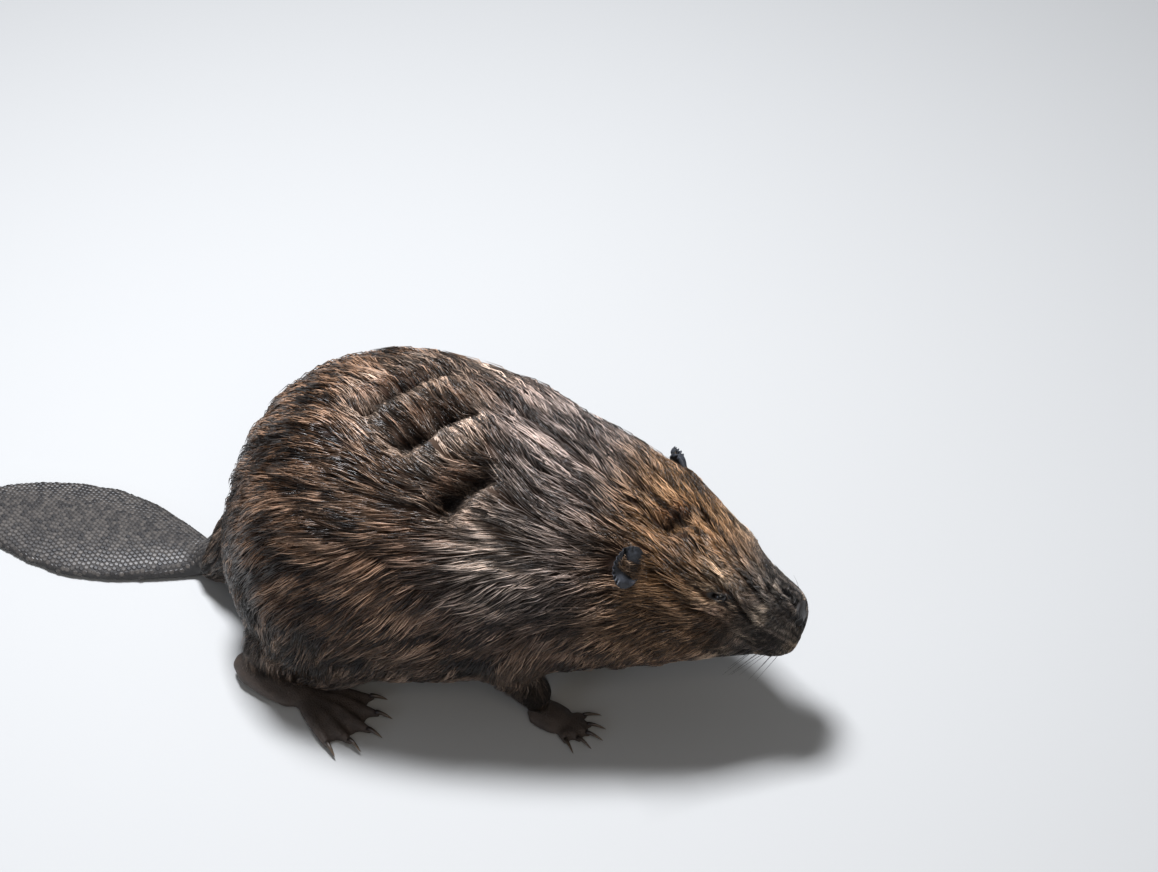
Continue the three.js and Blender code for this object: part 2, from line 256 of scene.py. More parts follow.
def attribute(tree, name, output="Fac"):
    """What a mesh carries under this name, for a shader."""
    return add(tree, "ShaderNodeAttribute", attribute_name=name).outputs[output]


def mixed(tree, share, *colours):
    """From the first colour to the second. Each is a socket or an sRGB hex colour."""
    ends = {key: (*linear(c), 1) if isinstance(c, str) else c for key, c in zip((6, 7), colours)}
    return add(tree, "ShaderNodeMix", {"Factor": share, **ends}, data_type="RGBA").outputs[2]


def mottled_material(name, dark, light, scale, detail, bump, weight=None, rough=0.5, **shader):
    """Mottled from dark to light by a noise, which an attribute may weigh, and roughened by it."""
    made, tree, principled = new_material(name, **shader)
    coordinates = add(tree, "ShaderNodeTexCoord").outputs["Object"]
    grain = result_of(tree, "ShaderNodeTexNoise", {
        "Vector": coordinates, "Scale": scale, "Detail": detail, "Roughness": rough})
    share = grain
    if weight:
        share = tools_for(tree)[1]("MULTIPLY", attribute(tree, weight), grain)
    tint = mixed(tree, share, dark, light)
    tree.links.new(tint, principled.inputs["Base Color"])
    relief = result_of(tree, "ShaderNodeBump", {"Height": grain, "Strength": bump[0], "Distance": bump[1]})
    tree.links.new(relief, principled.inputs["Normal"])
    return made, tree, principled, tint


# %% Floor, sky and lamp
def link(name, mesh):
    """Makes an object of a mesh and puts it in the scene."""
    made = bpy.data.objects.new(name, mesh)
    bpy.context.scene.collection.objects.link(made)
    return made


FLOOR_HALF = 6.0
floor_mesh = bpy.data.meshes.new("floor")
floor_mesh.from_pydata(
    [(x * FLOOR_HALF, y * FLOOR_HALF, 0) for x, y in ((-1, -1), (1, -1), (1, 1), (-1, 1))],
    [], [(0, 1, 2, 3)])
floor = link("floor", floor_mesh)
# Matt grey studio paper.
floor_paint, _, _ = new_material(
    "matt_studio_paper", Base_Color=(*linear("#bdbdbb"), 1), Roughness=0.95)
floor_mesh.materials.append(floor_paint)
floor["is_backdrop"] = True

world = bpy.data.worlds.new("overcast_sky")
world.use_nodes = True
world.node_tree.nodes["Background"].inputs["Color"].default_value = (*linear("#dfe5ee"), 1)
world.node_tree.nodes["Background"].inputs["Strength"].default_value = 0.17
bpy.context.scene.world = world


def softbox(name, place, size, watts, colour):
    """A square lamp that faces the animal."""
    lamp = bpy.data.lights.new(name, "AREA")
    lamp.size = size
    lamp.energy = watts
    lamp.color = linear(colour)
    held = bpy.data.objects.new(name, lamp)
    held.location = place
    held.rotation_euler = (Vector((0, 0, 0.1)) - Vector(place)).to_track_quat("-Z", "Y").to_euler()
    bpy.context.scene.collection.objects.link(held)
    return held


softbox("sky_window", (0.3, 0.3, 2.2), 0.55, 92, "#f1f4fb")
softbox("bank_fill", (-1.8, -1.2, 2.0), 1.2, 11, "#fff4e6")
softbox("water_glare", (-2.3, 0.7, 0.9), 0.8, 7, "#d3def2")
bpy.context.scene.view_settings.view_transform = "Standard"

# %% [markdown]
# ## The hide
# On the animal one skin runs from the nose to the tip of the tail. The solids are its flesh, parted by
# thin cuts, so their meshes are gathered, swollen by a hair's breadth to close the cuts, and wrapped in
# one even net of small squares by a voxel remesh. Smoothing then takes away the flat faces of the
# solids, and each place remembers which solid it came from.

# %% Gather the flesh and wrap it in one net
SIDES = ("left", "right")
FLESH = ["head", "lower_jaw", "nose", "neck", "trunk", "tail_base", "tail_blade"]
for side in SIDES:
    FLESH += [f"{part}_{side}" for part in
              ("upper_arm", "forearm", "forefoot", "thigh", "lower_leg", "hind_foot")]
SWELL = 0.35 * MM
NET_SIZE = 3.6 * MM


def listed(items, field, width=1, kind=float):
    """One field of all points, edges or faces as an array with this many columns."""
    found = np.empty(len(items) * width, kind)
    items.foreach_get(field, found)
    return found.reshape(-1, width) if width > 1 else found


def points_of(mesh):
    return listed(mesh.vertices, "co", 3)


def edges_of(mesh):
    """The edges of a mesh as pairs of point numbers."""
    return listed(mesh.edges, "vertices", 2, int)


def arrays_of(mesh):
    """The points and triangles of a mesh as two arrays."""
    mesh.calc_loop_triangles()
    return points_of(mesh), listed(mesh.loop_triangles, "vertices", 3, int)


def welded(points, triangles):
    """The same shape with points in the same place made one."""
    keys = np.round(points / (0.01 * MM)).astype(np.int64)
    _, first, where = np.unique(keys, axis=0, return_index=True, return_inverse=True)
    triangles = where.reshape(-1)[triangles]
    whole = (triangles[:, 0] != triangles[:, 1]) & (triangles[:, 1] != triangles[:, 2])
    whole &= triangles[:, 2] != triangles[:, 0]
    return points[first], triangles[whole]


def point_normals(points, triangles):
    """Outward directions at the points of a triangle mesh."""
    a, b, c = (points[triangles[:, k]] for k in range(3))
    face = np.cross(b - a, c - a)
    total = np.zeros_like(points)
    for k in range(3):
        np.add.at(total, triangles[:, k], face)
    return unit(total, 1e-12)


def gather(nodes):
    """The swollen solids as one list of points and triangles, with the number of each triangle's solid."""
    all_points, all_faces, numbers, start = [], [], [], 0
    for node in nodes:
        points, triangles = welded(*arrays_of(frame["nodes"][node].data))
        all_points.append(points + point_normals(points, triangles) * SWELL)
        all_faces.append(triangles + start)
        numbers += [FLESH.index(node)] * len(triangles)
        start += len(points)
    return np.concatenate(all_points), np.concatenate(all_faces), numbers


def tube_faces(rings, sides):
    """The squares between rings of points that follow each other, all with the same number of sides."""
    corners = [(ring * sides + k, ring * sides + (k + 1) % sides)
               for ring in range(rings - 1) for k in range(sides)]
    return [(a, b, b + sides, a + sides) for a, b in corners]


@contextmanager
def edited(mesh):
    """The mesh in a form that can be cut and joined. What is done to it is written back at the end."""
    work = bmesh.new()
    work.from_mesh(mesh)
    yield work
    work.to_mesh(mesh)
    work.free()


def as_one(parts):
    """Several pairs of points and faces as one pair."""
    starts = np.cumsum([0] + [len(points) for points, _ in parts]).tolist()
    faces = [tuple(v + start for v in face) for start, (_, some) in zip(starts, parts) for face in some]
    return np.concatenate([points for points, _ in parts]), faces


def finished(name, points, faces, material, outward=True):
    """A smooth object of these points and faces, with all faces turned outward."""
    mesh = bpy.data.meshes.new(name)
    mesh.from_pydata(points.tolist(), [], faces)
    if outward:
        with edited(mesh) as work:
            bmesh.ops.recalc_face_normals(work, faces=work.faces)
    mesh.polygons.foreach_set("use_smooth", [True] * len(mesh.polygons))
    mesh.materials.append(material)
    return link(name, mesh)


def built(name, points, triangles):
    """An object of these points and triangles."""
    mesh = bpy.data.meshes.new(name)
    mesh.from_pydata(points.tolist(), [], triangles.tolist())
    return link(name, mesh)


def applied(made, kind, **settings):
    """Gives an object one modifier, keeps what it makes, and takes the modifier away."""
    modifier = made.modifiers.new(kind.lower(), kind)
    for key, value in settings.items():
        setattr(modifier, key, value)
    evaluated = made.evaluated_get(bpy.context.evaluated_depsgraph_get())
    result = bpy.data.meshes.new_from_object(evaluated)
    made.modifiers.clear()
    made.data = result
    return made


flesh_points, flesh_faces, face_node = gather(FLESH)
flesh_tree = BVHTree.FromPolygons(flesh_points.tolist(), flesh_faces.tolist())
FEET = [node for node in FLESH if "foot" in node]
body_points, body_faces, _ = gather([node for node in FLESH if node not in FEET])
hide = built("hide", body_points, body_faces)
applied(hide, "REMESH", mode="VOXEL", voxel_size=NET_SIZE)
print("net of the body:", len(hide.data.vertices), "points,", len(hide.data.polygons), "squares")

# %% [markdown]
# ## Toes
# Each toe is a rounded row of balls from the middle of the foot to the root of its claw, thicker at the
# knuckle, and it is wrapped with the solid foot in a net fine enough to keep the toes apart. A plug of
# balls reaches up into the leg, so that foot and body can be joined as one skin.

# %% Feet: toes, a finer net, and one skin with the body
TOE = {"fore": {"radius": 4.7, "back": 0.55, "net": 1.5}, "hind": {"radius": 5.9, "back": 0.78, "net": 2.0}}
CLAW_COVER = 3.0 * MM
PLUG_RADIUS = {"fore": 10.0, "hind": 12.0}


def unit_ball():
    work = bmesh.new()
    bmesh.ops.create_icosphere(work, subdivisions=2, radius=1)
    points = np.array([v.co[:] for v in work.verts])
    triangles = np.array([[v.index for v in f.verts] for f in work.faces])
    work.free()
    return points, triangles


def claw_line(node, foot_centre):
    """Where a claw leaves its toe, and where it ends."""
    points, _ = welded(*arrays_of(frame["nodes"][node].data))
    gap = np.linalg.norm(points - foot_centre, axis=1)
    return points[gap < gap.min() + 2 * MM].mean(0), points[gap.argmax()]


BALL_POINTS, BALL_FACES = unit_ball()
claws = {}
for node in FEET:
    end, side = node.split("foot_")[0].strip("_"), node.split("_")[-1]
    size = TOE[end]
    middle = centre_of(node)
    claws[f"{end}_{side}"] = [claw_line(f"{end}_claw_{side}_{n}", middle) for n in range(1, 6)]
    balls = []
    for root, tip in claws[f"{end}_{side}"]:
        finish = root + unit(tip - root) * CLAW_COVER
        begin = root + (middle - root) * size["back"]
        for share in np.linspace(0, 1, 14 if end == "hind" else 9):
            thick = size["radius"] * (1.0 + 0.13 * hump(share, 0.55, 0.16) - 0.16 * ramp(share, 0.7, 1))
            spot = begin + (finish - begin) * share
            spot[2] = (thick * 0.92 + 1.6 * hump(share, 0.5, 0.3)) * MM
            balls.append((spot, thick * MM))
    leg = f"{'forearm' if end == 'fore' else 'lower_leg'}_{side}"
    leg_points, _, _ = gather([leg])
    ankle = leg_points[leg_points[:, 2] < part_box(leg)[0].z + 14 * MM].mean(0)
    for share in (0.0, 0.25, 0.5):
        balls.append((ankle + (centre_of(leg) - ankle) * share, PLUG_RADIUS[end] * MM))
    points, triangles, _ = gather([node])
    parts = [points] + [spot + BALL_POINTS * thick for spot, thick in balls]
    starts = len(points) + len(BALL_POINTS) * np.arange(len(balls))
    faces = np.concatenate([triangles] + [BALL_FACES + first for first in starts])
    foot_piece = built(node, np.concatenate(parts), faces)
    applied(foot_piece, "REMESH", mode="VOXEL", voxel_size=size["net"] * MM)
    before = len(hide.data.vertices) + len(foot_piece.data.vertices)
    applied(hide, "BOOLEAN", operation="UNION", solver="MANIFOLD", object=foot_piece)
    print(node, len(foot_piece.data.polygons), "squares; joined", before, "->", len(hide.data.vertices))
    bpy.data.objects.remove(foot_piece)


def without_specks(mesh):
    """Takes away the tiny closed bodies that a join can leave beside the skin, and counts their points."""
    with edited(mesh) as work:
        unseen, bodies = set(work.verts), []
        while unseen:
            front = {unseen.pop()}
            body = set(front)
            while front:
                front = {edge.other_vert(v) for v in front for edge in v.link_edges} & unseen
                unseen -= front
                body |= front
            bodies.append(body)
        skin = max(bodies, key=len)
        specks = [v for v in work.verts if v not in skin]
        bmesh.ops.delete(work, geom=specks, context="VERTS")
    return len(specks)


print("points of specks taken away:", without_specks(hide.data))

# %% Smooth the net, and make it finer on the face
def relaxed(values, edges, weight, rounds):
    """Each value drawn toward the mean of its neighbours, again and again: it evens shapes and masks."""
    values = np.array(values, float)
    flat = values.reshape(len(values), -1)
    weight = np.broadcast_to(np.asarray(weight, float), len(flat))[:, None]
    share = 1 / np.maximum(np.bincount(edges.ravel(), minlength=len(flat)), 1)[:, None]
    for _ in range(rounds):
        mean = np.stack([
            np.bincount(edges[:, 0], flat[edges[:, 1], k], len(flat))
            + np.bincount(edges[:, 1], flat[edges[:, 0], k], len(flat))
            for k in range(flat.shape[1])], axis=1) * share
        flat += weight * (mean - flat)
    return flat.reshape(values.shape)


def nearest_flesh(points):
    """For each point, the number of the solid that lies closest to it."""
    return np.array([face_node[flesh_tree.find_nearest(p)[2]] for p in points.tolist()])


def flesh_numbers(*beginnings):
    return [n for n, name in enumerate(FLESH) if name.startswith(beginnings)]


ROUNDS = 70
points = points_of(hide.data)
owner = nearest_flesh(points)
softness = np.full(len(points), 0.6)
softness[np.isin(owner, flesh_numbers("forefoot", "hind_foot"))] = 0.035
softness[np.isin(owner, flesh_numbers("tail_blade"))] = 0.08
softness[np.isin(owner, flesh_numbers("forearm", "lower_leg"))] = 0.15
softness *= 0.08 + 0.92 * ramp(behind(points[:, 1]), 8, 110)
edges = edges_of(hide.data)
softness = relaxed(softness, edges, 0.5, 6)
points = relaxed(points, edges, softness, ROUNDS)


def refilled(points, triangles, edges, rounds):
    """Smoothing shrinks a shape: this swells it again until it fills the flesh on the average."""
    outward = point_normals(points, triangles)
    goal = np.array([flesh_tree.find_nearest(p)[0][:] for p in points.tolist()])
    lost = ((goal - points) * outward).sum(1)
    print("smoothing took", round(float(lost.mean() / MM), 2), "mm on the average")
    return points + outward * relaxed(lost, edges, 0.5, rounds)[:, None]


points = refilled(points, arrays_of(hide.data)[1], edges, 24)
hide.data.vertices.foreach_set("co", points.ravel())

EYES = {side: centre_of(f"eye_{side}") for side in SIDES}
NOSE_TIP = centre_of("nose")


def subdivided(mesh, wanted):
    """Splits each square that passes the test into four."""
    with edited(mesh) as work:
        chosen = {e for f in work.faces if wanted(f.calc_center_median()) for e in f.edges}
        bmesh.ops.subdivide_edges(work, edges=list(chosen), cuts=1, use_grid_fill=True)


FACE_END_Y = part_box("head")[1].y - 62 * MM
CREASE_MIDDLES = ((5, 353), (-28, 304), (-70, 264))  # side, and distance behind the nose, mm
subdivided(hide.data, lambda c: c.y < FACE_END_Y and c.z > 60 * MM)
subdivided(hide.data, lambda c: c.z > 190 * MM and any(
    abs(c.x / MM - x) < 40 and abs(behind(c.y) - y) < 34 for x, y in CREASE_MIDDLES))
subdivided(hide.data, lambda c: min((c - Vector(e)).length for e in EYES.values()) < 15 * MM or
           (c - Vector(NOSE_TIP)).length < 24 * MM)

points = points_of(hide.data)
edges = edges_of(hide.data)
points = relaxed(points, edges, 0.3, 3)
owner = nearest_flesh(points)
_, net_triangles = arrays_of(hide.data)
print("hide after the finer squares:", len(points), "points,", len(net_triangles), "triangles")

# %% [markdown]
# ## Folds, lids, nostrils and lips
# A fat beaver's hide is loose. Where it bends its body to the right, three creases open across the back
# and flank, each a short pocket that is deepest at its lower end, with a low roll in front of it. The
# face has a heavy brow, lids that close to a slit, comma-shaped nostrils and a lip line. Each is a
# formula that moves the points of the net along their outward direction, so all can be retuned.

# %% Move the net along its outward direction
FOLDS = {  # side and distance behind the nose of both ends, depth and half width, all in millimetres
    "loin": ((44, 313), (-37, 380), 18.0, 8.5),
    "back": ((5, 275), (-61, 334), 18.0, 8.5),
    "shoulder": ((-47, 244), (-93, 285), 18.0, 8.5),
    "nape": ((-2, 86), (-32, 110), 9.0, 5.5),
}
x_mm, _, z_mm = (points / MM).T
along = behind(points[:, 1])
outward = point_normals(points, net_triangles)
hide_tree = BVHTree.FromPolygons(points.tolist(), net_triangles.tolist())


def dropped(side_mm, behind_mm):
    """The place on the hide straight below a point above the animal."""
    top = Vector((side_mm * MM, NOSE_Y + behind_mm * MM, 1.0))
    return np.array(hide_tree.ray_cast(top, Vector((0, 0, -1)))[0])


def fold_ruler(start, end, samples=14):
    """For each point: how far along the fold it is (0 to 1), and how far behind the crease, in mm."""
    share = np.linspace(-0.1, 1.15, samples)
    path = np.array([dropped(start[0] + (end[0] - start[0]) * s, start[1] + (end[1] - start[1]) * s
                             + 3 * math.sin(math.pi * min(max(s, 0), 1))) for s in share])
    gaps = np.linalg.norm(points[:, None] - path[None], axis=2)
    first = np.clip(gaps.argmin(axis=1), 1, samples - 2)
    a, b = path[first - 1], path[first + 1]
    run = unit(b - a)
    offset = points - a
    reach = (offset * run).sum(1)
    across = offset - run * reach[:, None]
    distance = np.linalg.norm(across, axis=1) / MM
    step = np.linalg.norm(b - a, axis=1)
    place = share[first - 1] + (share[first + 1] - share[first - 1]) * reach / step
    return place, distance * np.sign(across[:, 1])


rise = np.zeros(len(points))
crease = np.zeros(len(points))
parting = np.zeros(len(points))
roll = np.zeros(len(points))
room = np.full(len(points), 99.0)  # mm from a hair's root to the crease that it would otherwise bridge
for name, (start, end, depth, half_width) in FOLDS.items():
    place, distance = fold_ruler(start, end)
    strength = ramp(place, -0.1, 0.38) * (1 - ramp(place, 0.9, 1.12))
    strength *= np.abs(distance) < 60
    wall = np.where(distance < 0, half_width * 0.45, half_width * 1.1)
    rise -= depth * strength * np.exp(-(distance / wall) ** 2)
    rise += 0.3 * depth * strength * hump(distance, -half_width * 1.5, half_width * 1.2)
    rise += 3.0 * strength * hump(distance, half_width * 3.0, half_width * 1.7)
    free = np.where((distance < 3) & (strength > 0.02), np.maximum(-distance, 0) * 0.8 + 3, 99)
    room = np.minimum(room, free + 40 * (1 - np.clip(strength * 1.6, 0, 1)))
    # crease also darkens the coat's colour further on: painted shade in the pocket.
    crease = np.maximum(crease, strength * hump(distance, half_width * 0.3, half_width * 0.55))
    parting = np.maximum(parting, strength * hump(distance, half_width * 1.0, half_width * 0.5))
    swell = 1 - ramp(np.abs(distance), half_width * 1.5, half_width * 4)
    # The rolls are painted lighter further on, as a painted highlight.
    roll = np.maximum(roll, swell * ramp(strength, 0, 0.5))
    print(f"fold {name}: {depth} mm deep, {np.sum(strength > 0.5)} points")


def waves(per_metre, shift=(0, 0, 0)):
    """A smooth random value from -1 to 1 at each point of the hide."""
    return np.array([noise.noise(Vector(p) * per_metre + Vector(shift)) for p in points.tolist()])


slow_lumps, fine_lumps = waves(14), waves(42, (5, 0, 0))
furred_body = ramp(along, 60, 200) * (1 - ramp(along, 500, 560)) * ramp(z_mm, 30, 60)
rise += furred_body * (2.6 * slow_lumps + 1.1 * fine_lumps)

side_mm = np.abs(x_mm)
cheek = hump(along, 84, 30) * hump(z_mm, 132, 24) * ramp(side_mm, 35, 60)
rise += 2.5 * cheek
whisker_pad = hump(along, 20, 14) * hump(z_mm, 113, 13) * ramp(side_mm, 8, 18)
rise += 1.4 * whisker_pad
bridge = hump(along, 34, 12) * hump(x_mm, 0, 13) * ramp(z_mm, 135, 152)
rise += 2.0 * bridge
behind_muzzle = hump(along, 44, 9) * hump(z_mm, 122, 16) * ramp(side_mm, 14, 30)
rise -= 1.8 * behind_muzzle

NOSE_PAD = {"half_width": 14.0, "half_height": 9.5, "height": 131.0}
for side, eye in EYES.items():
    from_eye = (points - eye) / MM
    facing = np.sign(x_mm) == np.sign(eye[0])
    orbit = hump(np.linalg.norm(from_eye, axis=1), 0, 15) * facing
    brow = hump(from_eye[:, 1], 1, 14) * hump(from_eye[:, 2], 11, 6) * facing * ramp(side_mm, 15, 28)
    rise += 2.0 * orbit + 2.4 * brow
from_pad = np.hypot(x_mm / NOSE_PAD["half_width"], (z_mm - NOSE_PAD["height"]) / NOSE_PAD["half_height"])
from_pad = from_pad + 2 * ramp(along, 8, 14)
rise += 0.9 * (1 - ramp(from_pad, 0.7, 1.0)) - 1.0 * hump(from_pad, 1.12, 0.14)

MOUTH_HEIGHT = 101 + 0.182 * along
lip_line = np.exp(-((z_mm - MOUTH_HEIGHT) / 2.2) ** 2) * ramp(along, 1, 6) * (1 - ramp(along, 60, 84))
rise -= 2.4 * lip_line
philtrum = hump(x_mm, 0, 1.6) * (1 - ramp(along, 6, 12)) * (1 - ramp(z_mm, 118, 124))
rise -= 1.6 * philtrum

points = points + outward * (rise * MM)[:, None]
points = relaxed(points, edges, 0.25, 2)
print("deepest place", round(float(rise.min()), 1), "mm, highest", round(float(rise.max()), 1), "mm")

# %% [markdown]
# ## How long the hair is, and which way it lies
# Guard hairs are about 5 mm on the lips, 20 mm on the crown and 35 mm on the back. They lie from the
# nose to the tail, and turn down toward the belly as they leave the spine. The hide must lie below the
# solids by the depth of this coat, and the feet and the paddle of the tail are bare.

# %% Masks, coat length and the way the hair lies
def mask_of(*beginnings, rounds=8):
    """1 on the named parts and 0 elsewhere, with a soft border."""
    return relaxed(np.isin(owner, flesh_numbers(*beginnings)).astype(float), edges, 0.5, rounds)


foot = mask_of("forefoot", "hind_foot", rounds=3)
paddle = ramp(along, 548, 566) * mask_of("tail", rounds=4)
limb = np.clip(mask_of("forearm", "lower_leg", rounds=14) + foot, 0, 1)
upper_limb = mask_of("upper_arm", "thigh", rounds=20)
tail_root = mask_of("tail_base", rounds=12)
outward = point_normals(points, net_triangles)
outward_smooth = unit(relaxed(outward, edges, 0.5, 10))
belly = ramp(-outward_smooth[:, 2], 0.25, 0.8) * (1 - limb)

eye_gap = np.minimum(*[np.linalg.norm(points - e, axis=1) / MM for e in EYES.values()])
EARS = {side: centre_of(f"ear_{side}") for side in SIDES}
ear_gap = np.minimum(*[np.linalg.norm(points - e, axis=1) / MM for e in EARS.values()])
nose_front = 1 - ramp(from_pad, 0.85, 1.1)
EAR_HALF = (14.5, 18.5)  # half width and half height of the cup of an ear, mm
ahead_of_ear = 1 - ramp(along, behind(EARS["right"][1]) - 2, behind(EARS["right"][1]) + 12)
ear_room = np.maximum(ear_gap - 9, 3) + 60 * (1 - ahead_of_ear)

LENGTH_MARKS = [0, 15, 40, 55, 66, 90, 130, 180, 240, 320, 430, 490, 520]
LENGTH_THERE = [6, 8, 11, 14, 19, 25, 29, 33, 36, 38, 38, 33, 28]
coat_length = np.interp(along, LENGTH_MARKS, LENGTH_THERE)
coat_length = coat_length * (1 - 0.3 * belly) * (1 - 0.25 * upper_limb)
coat_length = coat_length + (11 - coat_length) * limb
tail_hair = np.interp(along, [470, 548, 566], [24, 10, 5])
coat_length = coat_length + (tail_hair - coat_length) * tail_root
coat_length = coat_length * (1 - 0.45 * hump(eye_gap, 0, 13))
coat_length = np.minimum(coat_length, np.maximum(np.minimum(room, ear_room), 6)) * (1 - 0.35 * crease)
bare = np.clip(foot + paddle + nose_front, 0, 1)
coat_depth = (0.14 + 0.12 * (1 - ramp(along, 20, 60))) * coat_length * (1 - bare) + 0.25 * bare

tousle = 0.75 + 1.1 * (1 - ramp(along, 40, 78)) + 0.4 * hump(along, 150, 40) + 0.5 * crease
tousle += 0.35 * hump(along, 95, 30) * ramp(z_mm, 150, 190)

TOP_MARKS = [0, 30, 64, 98, 134, 172, 220, 280, 340, 395, 438, 473, 499]
top_line = np.array([dropped(0, mark)[2] / MM if mark > 3 else 128 for mark in TOP_MARKS])
drop = np.interp(along, TOP_MARKS, top_line) - z_mm
NEAR_DROPS, NEAR_TURNS = [0, 25, 50, 80, 120], [-27, -19, 8, 30, 46]  # mm below the spine, degrees
FAR_DROPS, FAR_TURNS = [0, 60, 120], [27, 34, 46]
turn_near = np.radians(np.interp(drop, NEAR_DROPS, NEAR_TURNS))
turn_far = -np.radians(np.interp(drop, FAR_DROPS, FAR_TURNS))
turn = turn_near + (turn_far - turn_near) * ramp(x_mm, -12, 22)
turn = turn * (1 - belly) * ramp(along, 8, 50)
broad = unit(relaxed(outward, edges, 0.5, 70))
back = unit(np.array([0, 1.0, 0]) - broad * broad[:, 1:2], 0.05)
near_side = np.cross(broad, back)
rear = np.clip(outward_smooth[:, 1], 0, 1)
limb_flow = np.clip(limb + 0.35 * upper_limb, 0, 1)
flow = back * np.cos(turn)[:, None] + near_side * np.sin(turn)[:, None]
flow[:, 2] -= 1.1 * rear + 1.1 * limb_flow
flow[:, 1] -= 0.6 * limb_flow
for side in SIDES:
    from_eye = (points - EYES[side]) / MM
    near = hump(np.linalg.norm(from_eye, axis=1), 0, 14)[:, None]
    flow = flow + near * from_eye / 14
from_nose = unit(points - (NOSE_TIP + np.array([0, 2, 4]) * MM))
flow += (from_nose - flow) * (1 - ramp(along, 8, 34))[:, None]
flow -= outward_smooth * (flow * outward_smooth).sum(1)[:, None]
flow = relaxed(flow, edges, 0.5, 12)
flow -= outward_smooth * (flow * outward_smooth).sum(1)[:, None]
flow = unit(flow, 1e-9)


def combed(direction, rounds=500):
    """A number for each point that grows a metre for each metre travelled this way (least squares)."""
    a, b = comb_edges.T

    def gathered(values):
        return np.bincount(b, values, len(points)) - np.bincount(a, values, len(points))

    found = np.zeros(len(points))
    left = gathered(((direction[a] + direction[b]) / 2 * (points[b] - points[a])).sum(1))
    step, power = left.copy(), left @ left
    for _ in range(rounds):
        pulled = gathered(step[b] - step[a])
        size = power / (step @ pulled)
        found += size * step
        left -= size * pulled
        step = left + step * ((left @ left) / power)
        power = left @ left
    return found


# The pelt is cut open along the middle of the belly, so that it can be unrolled.
cut_open = (points[edges[:, 0], 0] * points[edges[:, 1], 0] <= 0) & (outward_smooth[edges[:, 0], 2] < -0.2)
comb_edges = edges[~cut_open]
across_pelt = combed(np.cross(outward_smooth, flow))
down_pelt = combed(flow)
comb = np.stack([across_pelt, down_pelt, 0 * along], axis=1)
comb[limb > 0.5] = points[limb > 0.5] * [1, 1, 0]
print("pelt unrolled:", np.round(np.ptp(comb, axis=0)[:2], 2), "metres")

points = points - outward_smooth * (relaxed(coat_depth, edges, 0.5, 10) * MM)[:, None]
print("coat from", round(float(coat_length[bare < 0.5].min()), 1), "to",
      round(float(coat_length.max()), 1), "mm long")

# %% Lids and nostrils, once the hide lies at its true depth
EYE_RADIUS = (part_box("eye_left")[1].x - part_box("eye_left")[0].x) / 2 / MM
LID_OPENING = (6.0, 2.4)  # half length and half height of the slit, mm
LID_THICKNESS = 1.0
LOWEST_SKIN = 0.15 * MM  # the soles stop just above the floor, so that the two don't flicker
bare_lid = np.zeros(len(points))
for side, eye in EYES.items():
    sign = math.copysign(1, eye[0])
    out = unit(np.array([sign * 0.86, -0.12, 0.50]))
    slit = np.array([0.0, 1.0, 0.10])
    slit = unit(slit - out * (slit @ out))
    up = np.cross(out, slit) * sign
    up *= math.copysign(1, up[2])
    local = (points - eye) / MM
    a, b, c = local @ slit, local @ up, local @ out
    around = np.hypot(a, b)
    close = (around < 14) & (c > -4)
    ball = np.sqrt(np.maximum(EYE_RADIUS ** 2 - around ** 2, 0))
    opening = np.hypot(a / LID_OPENING[0], b / LID_OPENING[1])
    margin = 0.7 * hump(opening, 1.35, 0.3)
    lid = ball + LID_THICKNESS + margin + 0.8 * hump(b, 5.2, 2.4) * hump(a, 0, 7)
    blend = 1 - ramp(around, 5.5, 13)
    target = c + (np.maximum(lid, c) - c) * blend
    inside = 1 - ramp(opening, 0.85, 1.15)
    target = target + (ball - 3.0 - target) * inside
    target = np.where(close, target, c)
    points = points + out * ((target - c) * MM)[:, None]
    bare_lid = np.maximum(bare_lid, np.where(close, 1 - ramp(opening, 1.5, 2.1), 0))

NOSTRIL = {"side": 10.5, "behind": 4.0, "height": 129.0, "radius": 3.2}
nostril_depth = np.zeros(len(points))
for sign in (-1, 1):
    gap = np.sqrt(((x_mm - sign * NOSTRIL["side"]) / 1.15) ** 2 + ((along - NOSTRIL["behind"]) / 1.6) ** 2
                  + ((z_mm - NOSTRIL["height"]) / 0.85) ** 2)
    nostril_depth = np.maximum(nostril_depth, hump(gap, 0, NOSTRIL["radius"]))
    rim = 0.9 * hump(gap, NOSTRIL["radius"] * 1.6, 1.2)
    points = points + outward_smooth * (rim * MM)[:, None]
points = points - outward_smooth * (5.0 * nostril_depth * MM)[:, None]
points[:, 2] = np.maximum(points[:, 2], LOWEST_SKIN)
hide.data.vertices.foreach_set("co", points.ravel())
hide.data.polygons.foreach_set("use_smooth", [True] * len(hide.data.polygons))
hide.data.update()
outward = point_normals(points, net_triangles)
print("eye radius", round(EYE_RADIUS, 1), "mm; lids and nostrils made")

# %% [markdown]
# ## Markings
# A beaver isn't one brown. The lips and nose are charcoal, the crown is ginger, the back is a warm brown,
# and wet lower hair is nearly black, made darker still by painted shade low on the body. The nape and
# shoulders are painted grey, a painted sheen where long guard hairs catch the sky, and the rolls beside
# the creases, the brow and the top of the upper arm carry painted highlights. The creases and a spot
# ahead of each ear are painted dark as painted shade. Where the coat parts, the rusty underfur shows.
# One colour is worked out for each point of the hide, from soft masks, and the hide and all tufts carry
# it, so both have the same markings.

# %% Colours of the coat
def painted(base, hex_colour, mask):
    """The colours with this one laid over them where the mask says."""
    return base + (np.array(linear(hex_colour)) - base) * np.clip(mask, 0, 1)[:, None]


